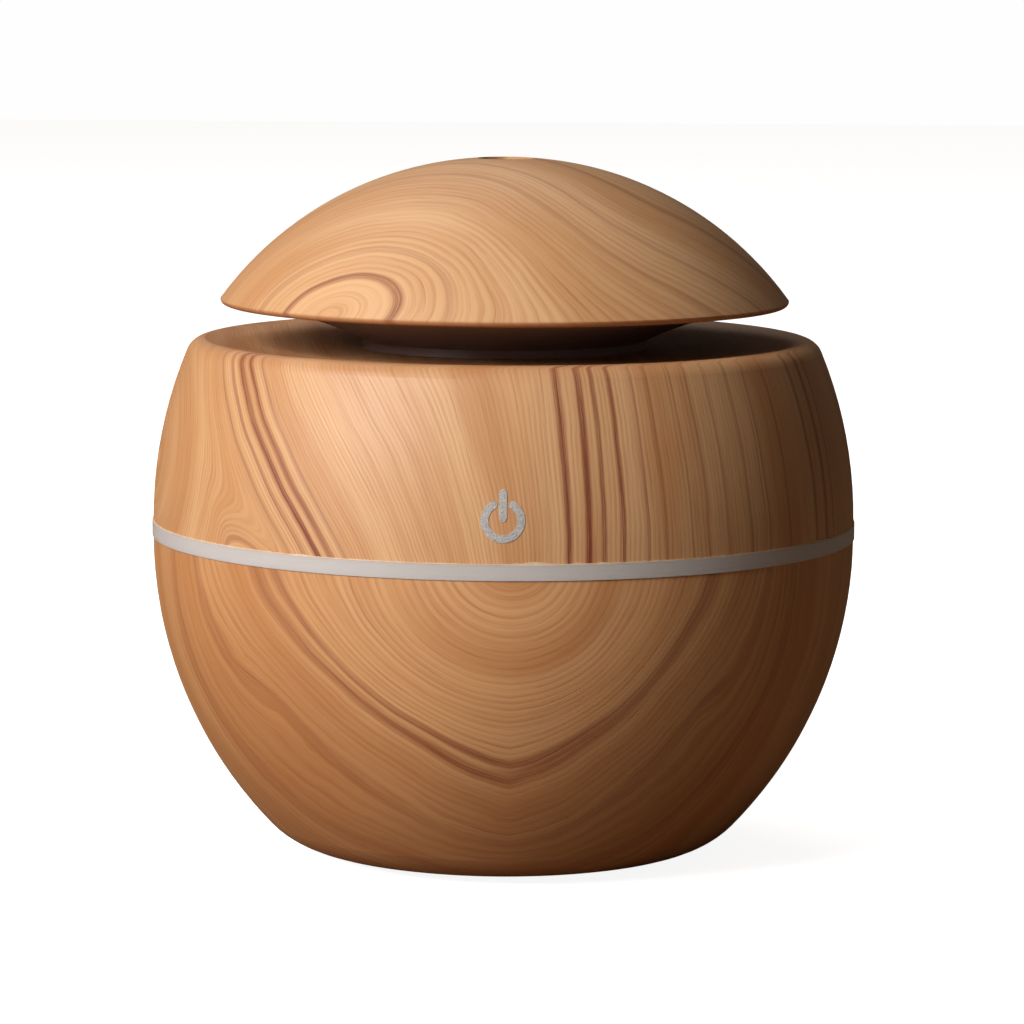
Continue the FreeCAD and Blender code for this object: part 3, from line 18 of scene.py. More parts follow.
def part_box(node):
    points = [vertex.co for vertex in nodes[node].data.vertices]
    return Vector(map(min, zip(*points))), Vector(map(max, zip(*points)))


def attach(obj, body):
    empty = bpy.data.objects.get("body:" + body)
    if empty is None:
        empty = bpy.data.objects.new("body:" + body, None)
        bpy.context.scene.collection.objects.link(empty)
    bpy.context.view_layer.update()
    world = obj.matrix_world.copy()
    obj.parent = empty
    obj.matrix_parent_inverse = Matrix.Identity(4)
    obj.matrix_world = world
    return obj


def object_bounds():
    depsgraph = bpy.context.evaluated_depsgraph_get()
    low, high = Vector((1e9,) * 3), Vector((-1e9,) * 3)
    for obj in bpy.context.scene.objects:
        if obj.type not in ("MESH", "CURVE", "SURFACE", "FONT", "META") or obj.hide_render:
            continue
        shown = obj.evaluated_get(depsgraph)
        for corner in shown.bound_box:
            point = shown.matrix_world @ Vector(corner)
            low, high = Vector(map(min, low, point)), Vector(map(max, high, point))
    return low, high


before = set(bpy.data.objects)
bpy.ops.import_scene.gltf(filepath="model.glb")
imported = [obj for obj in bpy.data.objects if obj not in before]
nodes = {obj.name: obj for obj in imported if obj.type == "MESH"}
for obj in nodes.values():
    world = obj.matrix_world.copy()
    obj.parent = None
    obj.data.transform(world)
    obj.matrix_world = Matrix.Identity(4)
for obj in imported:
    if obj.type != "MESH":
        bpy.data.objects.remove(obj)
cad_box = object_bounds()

MM = 0.001
scene = bpy.context.scene
print("loaded", len(nodes), "parts; the box is", [tuple(round(v, 5) for v in corner) for corner in cad_box])

# %% [markdown]
# ## Camera
# A small product is usually taken from far off with a long lens, which keeps the ball round and the waist
# band nearly flat. The camera stands seven degrees above the table, so a thin crescent of the dished top
# shows between the lid and the body. It is turned a third of a degree about its own axis, as a hand-
# levelled tripod is.

# %% Camera
CAMERA_DISTANCE = 0.6567
CAMERA_RISE = math.radians(7.22)
CAMERA_ROLL = math.radians(0.34)
AIM = Vector((0.0012, 0.0, 0.0484))


def make_camera():
    lens = bpy.data.cameras.new("studio_camera")
    lens.sensor_width = 36.0
    lens.lens = 161.7
    camera = bpy.data.objects.new("studio_camera", lens)
    back = Vector((0.0, -math.cos(CAMERA_RISE), math.sin(CAMERA_RISE)))
    camera.location = AIM + CAMERA_DISTANCE * back
    camera.rotation_euler = (-back).to_track_quat("-Z", "Y").to_euler()
    camera.rotation_euler.rotate_axis("Z", CAMERA_ROLL)
    scene.collection.objects.link(camera)
    scene.camera = camera
    return camera


print("camera at", tuple(round(v, 4) for v in make_camera().location))

# %% [markdown]
# ## Helpers for node trees
# A shader is a graph, and a graph written one node at a time is hard to read. Two small helpers keep it
# short: one adds a node and fills its sockets, and the other wraps a socket so that ordinary signs such as
# + and * each add one Math node. With them a formula in the script looks like the formula in a notebook.


# %% Node helpers
def place(tree, kind, inputs=None, **settings):
    """Adds a node, sets its settings, and fills each socket with a value or with another node's output."""
    node = tree.nodes.new(kind)
    for name, value in settings.items():
        setattr(node, name, value)
    for name, value in (inputs or {}).items():
        value = value.socket if isinstance(value, Number) else value
        if isinstance(value, bpy.types.NodeSocket):
            tree.links.new(value, node.inputs[name])
        else:
            node.inputs[name].default_value = value
    return node


class Number:
    """A socket that works like a number: each sign or call adds one Math node to its tree."""

    def __init__(self, tree, socket):
        self.tree = tree
        self.socket = socket

    def step(self, operation, *others):
        values = dict(enumerate((self,) + others))
        node = place(self.tree, "ShaderNodeMath", values, operation=operation)
        return Number(self.tree, node.outputs[0])

    def __add__(self, other):
        return self.step("ADD", other)

    def __sub__(self, other):
        return self.step("SUBTRACT", other)

    def __mul__(self, other):
        return self.step("MULTIPLY", other)

    def __truediv__(self, other):
        return self.step("DIVIDE", other)

    def __pow__(self, other):
        return self.step("POWER", other)

    def ramp(self, start, end, low=0.0, high=1.0):
        """Goes smoothly from low to high as the number goes from start to end."""
        sockets = {"Value": self, "From Min": start, "From Max": end, "To Min": low, "To Max": high}
        node = place(self.tree, "ShaderNodeMapRange", sockets, interpolation_type="SMOOTHSTEP")
        return Number(self.tree, node.outputs["Result"])

    def line(self, centre, half_width):
        """A soft stripe: 1 where the number is at the centre, 0 half a width away."""
        return (self - centre).step("ABSOLUTE").ramp(0.0, half_width, 1.0, 0.0)


def blend(tree, amount, first, second, kind="FLOAT"):
    """Mixes two numbers or two colours."""
    node = place(tree, "ShaderNodeMix", data_type=kind)
    sockets = [s for s in node.inputs if s.enabled]
    for socket, value in zip(sockets, (amount, first, second)):
        value = value.socket if isinstance(value, Number) else value
        if isinstance(value, bpy.types.NodeSocket):
            tree.links.new(value, socket)
        else:
            socket.default_value = value
    out = [s for s in node.outputs if s.enabled][0]
    return Number(tree, out) if kind == "FLOAT" else out


def noise(tree, position, scale, detail=2.0, roughness=0.5, across=None):
    """Soft noise between 0 and 1. With across, a fourth coordinate, it can be finer in one direction."""
    sockets = {"Vector": position, "Scale": scale, "Detail": detail, "Roughness": roughness}
    if across is not None:
        sockets["W"] = across
    dimensions = "3D" if across is None else "4D"
    node = place(tree, "ShaderNodeTexNoise", sockets, noise_dimensions=dimensions)
    return Number(tree, node.outputs["Fac"])


def new_group(name, inputs, outputs):
    """Starts a shader node group and returns it with its input and output sockets."""
    group = bpy.data.node_groups.new(name, "ShaderNodeTree")
    for title, kind, value in inputs:
        socket = group.interface.new_socket(name=title, in_out="INPUT", socket_type=kind)
        if value is not None:
            socket.default_value = value
    for title, kind in outputs:
        group.interface.new_socket(name=title, in_out="OUTPUT", socket_type=kind)
    start = group.nodes.new("NodeGroupInput")
    end = group.nodes.new("NodeGroupOutput")
    return group, start.outputs, end.inputs


def finish_output(group, sockets, **results):
    """Links the results to the group's outputs, whose names are given with _ for a space."""
    for title, result in results.items():
        socket = result.socket if isinstance(result, Number) else result
        group.links.new(socket, sockets[title.replace("_", " ")])


FLOAT, VECTOR, COLOUR = "NodeSocketFloat", "NodeSocketVector", "NodeSocketColor"
print("helpers ready")

# %% [markdown]
# ## The table and the light
# The table is one large pale sheet. It looks near-white to the camera but passes little light on to the
# object, as a sheet well behind a product does, and it is clear from below so that the feet can be looked
# at. One large soft lamp to the left and above does nearly all the work, and the right side is left to fall
# into deep brown. A weaker one behind lights the crest of the lid and shows the back of the piece when the
# camera goes round.

# %% Table, lamps and surroundings
TABLE_HALF = 2.5
scene.view_settings.view_transform = "Standard"


def make_table():
    corners = [(x * TABLE_HALF, y * TABLE_HALF, 0.0) for x, y in ((-1, -1), (1, -1), (1, 1), (-1, 1))]
    mesh = bpy.data.meshes.new("table_sheet")
    mesh.from_pydata(corners, [], [(0, 1, 2, 3)])
    table = bpy.data.objects.new("table_sheet", mesh)
    scene.collection.objects.link(table)
    material = bpy.data.materials.new("table_paper")
    material.use_nodes = True
    tree = material.node_tree
    tree.nodes.clear()
    path = place(tree, "ShaderNodeLightPath")
    seen = Number(tree, path.outputs["Is Camera Ray"])
    paper = place(tree, "ShaderNodeBsdfDiffuse", {"Color": (0.86, 0.85, 0.84, 1.0)})
    dim = place(tree, "ShaderNodeBsdfDiffuse", {"Color": (0.20, 0.13, 0.08, 1.0)})
    glow = place(tree, "ShaderNodeEmission", {"Color": (1.0, 1.0, 1.0, 1.0), "Strength": 0.90})
    bright = place(tree, "ShaderNodeAddShader", {0: paper.outputs[0], 1: glow.outputs[0]})
    sheet = place(tree, "ShaderNodeMixShader", {0: seen, 1: dim.outputs[0], 2: bright.outputs[0]})
    clear = place(tree, "ShaderNodeBsdfTransparent")
    back = place(tree, "ShaderNodeNewGeometry").outputs["Backfacing"]
    both = place(tree, "ShaderNodeMixShader", {0: back, 1: sheet.outputs[0], 2: clear.outputs[0]})
    place(tree, "ShaderNodeOutputMaterial", {"Surface": both.outputs[0]})
    mesh.materials.append(material)
    return table


def make_lamp(name, spot, size, watts, colour):
    lamp = bpy.data.lights.new(name, "AREA")
    lamp.size = size
    lamp.energy = watts
    lamp.color = colour
    holder = bpy.data.objects.new(name, lamp)
    holder.location = spot
    holder.rotation_euler = (AIM - Vector(spot)).to_track_quat("-Z", "Y").to_euler()
    scene.collection.objects.link(holder)
    return holder


def make_surroundings(seen, cast):
    world = bpy.data.worlds.new("studio")
    world.use_nodes = True
    tree = world.node_tree
    tree.nodes.clear()
    camera_ray = place(tree, "ShaderNodeLightPath").outputs["Is Camera Ray"]
    strength = blend(tree, camera_ray, cast, seen)
    tint = blend(tree, camera_ray, (1.0, 0.86, 0.74, 1.0), (1.0, 1.0, 1.0, 1.0), "RGBA")
    air = place(tree, "ShaderNodeBackground", {"Color": tint, "Strength": strength})
    place(tree, "ShaderNodeOutputWorld", {"Surface": air.outputs[0]})
    scene.world = world


make_table()
make_surroundings(seen=0.99, cast=0.062)
LAMPS = [
    make_lamp("key_softbox", (-0.66, -0.60, 0.55), 0.50, 14.5, (1.0, 0.975, 0.95)),
    make_lamp("low_fill", (0.55, -1.05, 0.20), 0.9, 0.36, (1.0, 0.90, 0.84)),
    make_lamp("back_softbox", (-0.28, 0.80, 1.15), 0.8, 3.2, (1.0, 0.97, 0.94)),
]
print("lamps:", [(lamp.name, lamp.data.energy) for lamp in LAMPS])

# %% [markdown]
# ## The wood print
# The shells are plastic with a printed film shrunk over them, so the grain is colour with almost no relief.
# All wood figure is the same thing: thin dark late-growth lines at nearly even gaps, finer fibres between
# them, soft honey bands, and now and then a resin streak. What differs from piece to piece is only the
# direction. So one group draws the lines of whatever number it is given, called Across, and each shell
# works out its own number: rings round a point, leaning lines, or arches. Noise with a fourth coordinate is
# long along the grain and fine across it, which gives fibres that follow every bend without a second
# coordinate.


# %% Wood print group
def make_wood_print():
    group, given, result = new_group(
        "wood_print",
        [
            ("Across", FLOAT, 0.0), ("Place", VECTOR, None), ("Streak", FLOAT, 0.0), ("Line Gap", FLOAT, 1.1),
            ("Line Strength", FLOAT, 0.5), ("Depth", FLOAT, 0.0),
            ("Pale", COLOUR, (0.70, 0.44, 0.22, 1.0)), ("Honey", COLOUR, (0.55, 0.30, 0.125, 1.0)),
            ("Late Wood", COLOUR, (0.37, 0.125, 0.038, 1.0)), ("Resin", COLOUR, (0.19, 0.034, 0.014, 1.0)),
        ],
        [("Color", COLOUR), ("Height", FLOAT), ("Roughness", FLOAT)],
    )
    across = Number(group, given["Across"])
    spot = given["Place"]
    wobble = noise(group, spot, 110.0, 3.0) - 0.5
    rings = (across + wobble * 0.7) / given["Line Gap"]
    saw = rings.step("FRACT")
    late = saw.ramp(0.25, 0.86) * saw.ramp(0.86, 1.0, 1.0, 0.0)
    ragged = noise(group, spot, 90.0, 3.0, 0.6, across * 0.012).ramp(0.33, 0.66)
    fibres = noise(group, spot, 34.0, 4.0, 0.62, across * 0.09).ramp(0.42, 0.72)
    hairs = noise(group, spot, 60.0, 2.0, 0.6, across * 0.16).ramp(0.56, 0.70)
    bands = noise(group, spot, 9.0, 2.0, 0.5, across * 0.02).ramp(0.36, 0.66)
    stain = noise(group, spot, 45.0, 3.0).ramp(0.3, 0.8)
    colour = blend(group, bands * 0.75 + stain * 0.2, given["Pale"], given["Honey"], "RGBA")
    lines = late * (ragged * 0.75 + 0.25) * given["Line Strength"]
    colour = blend(group, lines, colour, given["Late Wood"], "RGBA")
    colour = blend(group, fibres * 0.30, colour, given["Late Wood"], "RGBA")
    colour = blend(group, hairs * 0.28, colour, given["Resin"], "RGBA")
    feathers = noise(group, spot, 50.0, 4.0, 0.75, across * 0.13).ramp(0.34, 0.62)
    streak = (Number(group, given["Streak"]) * (feathers * 0.8 + 0.4)).step("MINIMUM", 0.95)
    colour = blend(group, streak, colour, given["Resin"], "RGBA")
    # Depth darkens the print towards late wood; on the bowl it partly carries painted shade
    colour = blend(group, given["Depth"], colour, given["Late Wood"], "RGBA")
    height = lines * -0.6 - hairs * 0.3 - streak * 0.3
    rough = fibres * 0.07 + stain * 0.06 + 0.46
    finish_output(group, result, Color=colour, Height=height, Roughness=rough)
    return group


WOOD_PRINT = make_wood_print()
print("wood print sockets:", [s.name for s in WOOD_PRINT.interface.items_tree])

# %% [markdown]
# ## Starting a material
# Every material begins with the same three things: the place on the piece, in metres, as the engineering
# model gives it; the same in millimetres along each axis; and the angle round the ball, unrolled into
# millimetres at the waist, zero at the front. Formulas for grain, rings or stripes are then written in
# millimetres.

# %% Material starter
BALL_RADIUS = (cad_box[1].x - cad_box[0].x) / 2 / MM


class Surface:
    """One material: its tree, its Principled shader, and the places on the piece."""

    def __init__(self, name, **values):
        self.material = bpy.data.materials.new(name)
        self.material.use_nodes = True
        self.tree = self.material.node_tree
        self.shader = self.tree.nodes["Principled BSDF"]
        for title, value in values.items():
            self.shader.inputs[title.replace("_", " ")].default_value = value
        self.spot = place(self.tree, "ShaderNodeTexCoord").outputs["Object"]
        apart = place(self.tree, "ShaderNodeSeparateXYZ", {"Vector": self.spot})
        self.x, self.y, self.z = (Number(self.tree, apart.outputs[axis]) * (1 / MM) for axis in "XYZ")

    def angle(self):
        return self.x.step("ARCTAN2", self.y * -1.0)

    def radius(self):
        return (self.x * self.x + self.y * self.y).step("SQRT")

    def wear(self, group, **values):
        """Places a group and fills its sockets, whose names are given with _ for a space."""
        node = place(self.tree, "ShaderNodeGroup")
        node.node_tree = group
        for title, value in values.items():
            socket = node.inputs[title.replace("_", " ")]
            value = value.socket if isinstance(value, Number) else value
            if isinstance(value, bpy.types.NodeSocket):
                self.tree.links.new(value, socket)
            else:
                socket.default_value = value
        return node.outputs

    def feed(self, **results):
        """Links results to the shader's sockets, whose names are given with _ for a space."""
        for title, result in results.items():
            socket = result.socket if isinstance(result, Number) else result
            self.tree.links.new(socket, self.shader.inputs[title.replace("_", " ")])

    def relief(self, height, distance, strength=1.0):
        """Turns a height between 0 and 1 into a bump of that many metres."""
        height = height.socket if isinstance(height, Number) else height
        sockets = {"Height": height, "Distance": distance, "Strength": strength}
        bump = place(self.tree, "ShaderNodeBump", sockets)
        self.feed(Normal=bump.outputs[0])

    def mix(self, amount, first, second):
        return blend(self.tree, amount, first, second, "RGBA")


def dress(surface, *names):
    """Gives the named CAD parts this material."""
    for name in names:
        for holder in nodes[name].material_slots:
            holder.material = surface.material
    print(surface.material.name, "on", ", ".join(names))


print("ball radius", round(BALL_RADIUS, 2), "mm")

# %% [markdown]
# ## Lower bowl
# The sheet that wraps the bowl was printed as two mirrored halves that meet at the front. Under the light
# band the rings are round, like the end of a log, further out they pull into a V along the joint, and at
# the sides they run upright. A power mean gives all three from one formula: with a power of 2 its rings are
# circles, with less they come to a point, and with more they square off. A sideways push that fades away at
# the back makes the left half wider than the right and still lets the two halves meet behind.

# %% Lower bowl
ring_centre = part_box("light_ring")[0].z / MM + 6.0
SATIN = {"Roughness": 0.42, "Coat_Weight": 0.06, "Coat_Roughness": 0.45, "IOR": 1.46}


def grain_surface(across, streak, depth, surface, **values):
    """Draws the wood print on a surface, with its small relief and its satin roughness."""
    print_out = surface.wear(
        WOOD_PRINT, Across=across, Place=surface.spot, Streak=streak, Depth=depth, **values
    )
    surface.feed(Base_Color=print_out["Color"], Roughness=print_out["Roughness"])
    surface.relief(print_out["Height"], 0.00004, 0.6)
    return surface


def wander(surface, scale, size):
    """A slow shift of so many millimetres either way."""
    return (noise(surface.tree, surface.spot, scale, 2.0) - 0.5) * (2 * size)


def add_lines(across, lines):
    """Adds up soft stripes, each given as its centre, its half width and its strength."""
    total = None
    for centre, half_width, strength in lines:
        stripe = across.line(centre, half_width) * strength
        total = stripe if total is None else total + stripe
    return total


def bowl_wood():
    surface = Surface("wood_bowl", **SATIN)
    angle = surface.angle()
    sideways = angle * (0.81 * BALL_RADIUS) + angle.step("SINE") ** 2.0 * 8.0 - 1.0
    across_joint = sideways.step("ABSOLUTE") + 0.001
    down = (surface.z * -1.0 + ring_centre).step("MAXIMUM", 0.001)
    reach = (across_joint * across_joint + down * down * 0.7).step("SQRT")
    pointed = reach.ramp(12.0, 25.0)
    upright = reach.ramp(30.0, 50.0)
    power = pointed * -0.55 + upright * 1.3 + 2.0
    down = down * (pointed * 0.10 + 0.765)
    across = (across_joint ** power + down ** power) ** (power ** -1.0)
    mirrored = place(surface.tree, "ShaderNodeCombineXYZ", {"X": across_joint * MM, "Y": down * MM})
    drift = (noise(surface.tree, mirrored.outputs[0], 45.0, 3.0) - 0.5) * 3.4
    across = across + drift * reach.ramp(4.0, 30.0)
    on_left = sideways.ramp(-4.0, 4.0, 1.0, 0.0)
    low_down = down.ramp(14.0, 24.0)
    double = across.line(26.0, 1.1) + across.line(28.3, 1.3)
    broad = across.line(27.0, 2.4) * 0.52
    streak = double * (on_left * 0.52 + low_down * 0.26) + broad * (on_left * -1.0 + 1.0)
    streak = streak + across.line(37.0, 0.8) * 0.30 + across.line(41.5, 1.2) * 0.25
    streak = streak.step("MINIMUM", 0.95)
    # partly painted shade: the print darkens towards the bottom of the bowl, partly the film's own tone and
    # partly painted shade under the ball; the band at 33 mm is grain
    foot = surface.z.ramp(3.0, 26.0, 0.30, 0.0) + across.line(33.0, 4.0) * 0.18
    grain_surface(
        across, streak, foot, surface, Line_Gap=0.92, Line_Strength=0.42,
        Pale=(0.66, 0.36, 0.165, 1.0), Honey=(0.49, 0.215, 0.078, 1.0),
    )
    return surface


dress(bowl_wood(), "lower_shell")

# %% [markdown]
# ## Upper shell
# The upper print is straight-grained board, cut so that its lines lean at the left, stand upright at the
# front and bend round a knot at the far left. Two groups of dark red resin streaks cross it. The lean is a
# slope that fades with the angle, and the knot is the distance from a point, so the two are mixed over a
# short stretch. On the dished top the film was laid flat, so there the lines run straight across from front
# to back.

# %% Upper shell
KNOT_ANGLE = -71.0
KNOT_HEIGHT = 57.0
DISH_RADIUS = 40.5
RIM_RADIUS = 44.0
# each streak is its place across the grain and its half width in millimetres, and its strength
LEFT_STREAKS = [(-41.0, 0.7, 0.45), (-38.2, 0.8, 0.6), (-35.6, 1.2, 1.0), (-33.2, 1.1, 0.85),
                (-30.6, 0.8, 0.45)]
FRONT_STREAKS = [(8.4, 0.9, 0.95), (11.4, 0.9, 1.0), (13.4, 0.6, 0.8), (16.0, 0.6, 0.9), (19.4, 0.5, 0.5),
                 (22.0, 0.5, 0.4), (26.3, 0.4, 0.3), (29.0, 0.5, 0.4), (32.4, 0.4, 0.35), (36.5, 0.5, 0.4),
                 (40.2, 0.4, 0.35), (44.6, 0.6, 0.4)]
SIDE_STREAKS = [(52.0, 0.7, 0.6), (55.5, 0.9, 0.7), (58.0, 0.5, 0.5), (104.0, 0.9, 0.7), (108.0, 0.6, 0.6)]


def upper_wood():
    surface = Surface("wood_upper", **SATIN)
    round_front = surface.angle() * BALL_RADIUS
    height = surface.z - 60.0
    lean = round_front.ramp(-34.0, 14.0, 0.86, 0.04)
    straight = round_front + lean * height
    over_top = surface.radius().ramp(DISH_RADIUS, RIM_RADIUS, 1.0, 0.0)
    beside = round_front - KNOT_ANGLE
    above = surface.z - KNOT_HEIGHT
    knot = (beside * beside + above * above * 1.2).step("SQRT") + KNOT_ANGLE
    across = blend(surface.tree, straight.ramp(-53.0, -41.0), knot, straight)
    across = blend(surface.tree, over_top, across, surface.x * 1.1 + surface.y * 0.12)
    across = across + wander(surface, 36.0, 0.8) + wander(surface, 150.0, 0.2)
    streak = add_lines(across, LEFT_STREAKS + FRONT_STREAKS + SIDE_STREAKS)
    streak = streak * (over_top * -0.85 + 1.0)
    rim = surface.z.ramp(71.0, 73.2, 0.0, 0.25)
    grain_surface(
        across, streak, rim, surface, Line_Gap=0.66, Line_Strength=0.40,
        Pale=(0.67, 0.40, 0.20, 1.0), Honey=(0.52, 0.255, 0.105, 1.0),
    )
    return surface


dress(upper_wood(), "upper_shell")

# %% [markdown]
# ## Lid
# The lid carries a cathedral figure: arches round a knot low on the left, which sweep over the top and run
# down to the right. Distance from a point is again enough, with the sideways part shortened so that the
# arches are wider than tall. The print darkens in a thin line at the rim.

# %% Lid
lid_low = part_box("lid_dome")[0].z / MM


LID_STREAKS = [(6.6, 0.9, 0.8), (11.5, 0.7, 0.3), (31.0, 0.8, 0.28), (36.5, 1.0, 0.25), (46.0, 1.2, 0.4)]


def lid_wood():
    surface = Surface("wood_lid", **SATIN)
    height = surface.z - 78.6
    lean = surface.x.ramp(-14.0, 22.0, 0.0, 1.5)
    beside = (surface.x + 22.0 + height * lean) * 0.60
    behind = surface.y + 31.5
    above = height * 1.15
    across = (beside * beside + behind * behind + above * above).step("SQRT")
    across = across + wander(surface, 36.0, 1.3) + wander(surface, 130.0, 0.25)
    streak = add_lines(across, LID_STREAKS)
    # the print darkens in a thin band just above the lowest edge of the lid
    rim = surface.z.ramp(lid_low + 0.4, lid_low + 1.0, 0.65, 0.0)
    grain_surface(
        across, streak, rim, surface, Line_Gap=1.02, Line_Strength=across.ramp(4.0, 9.0, 0.10, 0.38),
        Pale=(0.68, 0.41, 0.21, 1.0), Honey=(0.55, 0.28, 0.12, 1.0),
    )
    return surface


dress(lid_wood(), "lid_dome")

# %% [markdown]
# ## Moulded plastic
# The dark neck, the base cover and the small housings are injection moulded. Their moulds are spark-eroded,
# which leaves a fine even pebble, and handling polishes it a little in patches. A group gives the pebble as
# a height and the polish as a mask, and each plastic takes its own colour, size of pebble and roughness.


# %% Moulded skin group
def make_moulded_skin():
    group, given, result = new_group(
        "moulded_skin",
        [("Place", VECTOR, None), ("Pebble", FLOAT, 4500.0), ("Colour", COLOUR, (0.05, 0.05, 0.05, 1.0)),
         ("Polish", FLOAT, 0.1), ("Base Roughness", FLOAT, 0.5)],
        [("Color", COLOUR), ("Height", FLOAT), ("Roughness", FLOAT)],
    )
    pebble = noise(group, given["Place"], given["Pebble"], 2.0, 0.45)
    patch = noise(group, given["Place"], 70.0, 3.0, 0.6)
    lifted = place(group, "ShaderNodeHueSaturation", {"Color": given["Colour"], "Value": patch * 0.30 + 0.85})
    rough = patch * given["Polish"] + given["Base Roughness"] - pebble * 0.03
    finish_output(group, result, Color=lifted.outputs[0], Height=pebble, Roughness=rough)
    return group


MOULDED_SKIN = make_moulded_skin()


def moulded(name, colour, pebble, relief, roughness, polish=0.1, **values):
    """A moulded plastic with its own colour, pebble and sheen."""
    surface = Surface(name, **values)
    skin = surface.wear(
        MOULDED_SKIN, Place=surface.spot, Pebble=pebble, Colour=colour, Polish=polish,
        Base_Roughness=roughness,
    )
    surface.feed(Base_Color=skin["Color"], Roughness=skin["Roughness"])
    surface.relief(skin["Height"], relief)
    return surface


dress(moulded("neck_brown", (0.24, 0.165, 0.155, 1.0), 5200.0, 0.000012, 0.40), "lid_neck", "mist_tube")
dress(moulded("cover_brown", (0.030, 0.022, 0.018, 1.0), 2600.0, 0.00003, 0.55), "base_cover")
dress(moulded("housing_black", (0.018, 0.018, 0.019, 1.0), 3400.0, 0.00002, 0.5),
      "air_duct", "fan_frame", "fan_rotor", "dc_jack", "inlet_sleeve", "drive_transistor", "controller_chip")
dress(moulded("nylon_cream", (0.72, 0.66, 0.52, 1.0), 3000.0, 0.00001, 0.48, Subsurface_Weight=0.1),
      "wire_connectors", "atomizer_retainer")

# %% [markdown]
# ## Light band
# The band is milky acrylic, lit from inside by eight lamps when the diffuser runs and plain grey-white when
# it is off, as here. Milk in plastic is very fine, so a little light entering and coming out beside the
# spot gives the soft look. A faint cloudiness and the fine lines that turning leaves keep it from looking
# like paint.


# %% Light band
def milky_band():
    surface = Surface("milky_band", Roughness=0.34, IOR=1.49, Subsurface_Weight=0.35, Subsurface_Scale=0.003,
                      Subsurface_Radius=(1.0, 0.95, 0.9), Coat_Weight=0.1)
    cloud = noise(surface.tree, surface.spot, 60.0, 3.0)
    surface.feed(Base_Color=surface.mix(cloud, (0.50, 0.475, 0.465, 1.0), (0.57, 0.545, 0.535, 1.0)))
    surface.feed(Roughness=cloud * 0.12 + 0.30)
    turned = (surface.z * 9.0 + cloud).step("SINE") * 0.5 + 0.5
    surface.relief(turned, 0.000006)
    return surface


dress(milky_band(), "light_ring")

# %% [markdown]
# ## Printed key
# The open circle with its bar is screen printed in silver ink. The ink is full of tiny flakes that lie at
# different angles, so it glitters as grains of light and dark grey. A cell pattern with a random grey per
# cell gives the flakes, and one more group, speckle, is kept for the other speckled finishes.


# %% Speckle group and the key
def make_speckle():
    group, given, result = new_group(
        "speckle",
        [("Place", VECTOR, None), ("Grain", FLOAT, 5000.0), ("Dark", COLOUR, (0.2, 0.2, 0.2, 1.0)),
         ("Light", COLOUR, (0.6, 0.6, 0.6, 1.0)), ("Spread", FLOAT, 0.5)],
        [("Color", COLOUR), ("Height", FLOAT), ("Roughness", FLOAT)],
    )
    cells = place(group, "ShaderNodeTexVoronoi", {"Vector": given["Place"], "Scale": given["Grain"]})
    apart = place(group, "ShaderNodeSeparateColor", {"Color": cells.outputs["Color"]})
    chance = Number(group, apart.outputs["Red"])
    soft = noise(group, given["Place"], 900.0, 2.0)
    amount = (chance - 0.5) * given["Spread"] + soft * 0.3 + 0.35
    colour = blend(group, amount.step("MAXIMUM", 0.0), given["Dark"], given["Light"], "RGBA")
    height = Number(group, apart.outputs["Green"])
    finish_output(group, result, Color=colour, Height=height, Roughness=chance * 0.25 + 0.3)
    return group


SPECKLE = make_speckle()


def speckled(name, dark, light, grain, spread, relief, **values):
    surface = Surface(name, **values)
    flakes = surface.wear(SPECKLE, Place=surface.spot, Grain=grain, Dark=dark, Light=light, Spread=spread)
    surface.feed(Base_Color=flakes["Color"], Roughness=flakes["Roughness"])
    surface.relief(flakes["Height"], relief, 0.5)
    return surface


dress(speckled("silver_ink", (0.30, 0.29, 0.28, 1.0), (0.68, 0.67, 0.66, 1.0), 9000.0, 0.8, 0.00002,
               Metallic=0.3), "power_icon")
dress(speckled("ferrite_grey", (0.03, 0.03, 0.032, 1.0), (0.11, 0.11, 0.115, 1.0), 5200.0, 0.8, 0.00002),
      "drive_choke", "rotor_magnet")
dress(speckled("sintered_bronze", (0.22, 0.12, 0.05, 1.0), (0.62, 0.42, 0.20, 1.0), 7000.0, 0.7, 0.00002,
               Metallic=1.0), "fan_bearing")

# %% [markdown]
# ## Tank
# The tank is natural polypropylene: white, slightly waxy and lit from within. Water leaves rings of lime at
# the levels where it stood. They are faint, and show once the lid is off.


# %% Tank and rubber
# each old water level is its height and the half width of its ring in millimetres, and its strength
WATER_LEVELS = [(52.0, 0.5, 0.5), (47.5, 0.35, 0.35), (43.0, 0.5, 0.3)]


def tank_plastic():
    surface = Surface("tank_white", IOR=1.49, Subsurface_Weight=0.25, Subsurface_Scale=0.004,
                      Subsurface_Radius=(1.0, 0.95, 0.85))
    cloud = noise(surface.tree, surface.spot, 26.0, 3.0)
    level = surface.z + (noise(surface.tree, surface.spot, 90.0, 2.0) - 0.5) * 1.4
    lime = add_lines(level, WATER_LEVELS)
    white = surface.mix(cloud, (0.70, 0.69, 0.66, 1.0), (0.80, 0.79, 0.765, 1.0))
    surface.feed(Base_Color=surface.mix(lime, white, (0.60, 0.56, 0.49, 1.0)))
    surface.feed(Roughness=lime * 0.3 + cloud * 0.14 + 0.22)
    surface.relief(noise(surface.tree, surface.spot, 1800.0, 2.0), 0.000012)
    return surface


dress(tank_plastic(), "tank_bowl", "tank_shoulder", "duct_cap")
dress(moulded("silicone_clear", (0.62, 0.60, 0.56, 1.0), 2600.0, 0.00001, 0.52, 0.16, Subsurface_Weight=0.3,
              Subsurface_Scale=0.002), "lid_seal", "tank_seal", "mouth_gasket", "atomizer_gasket")


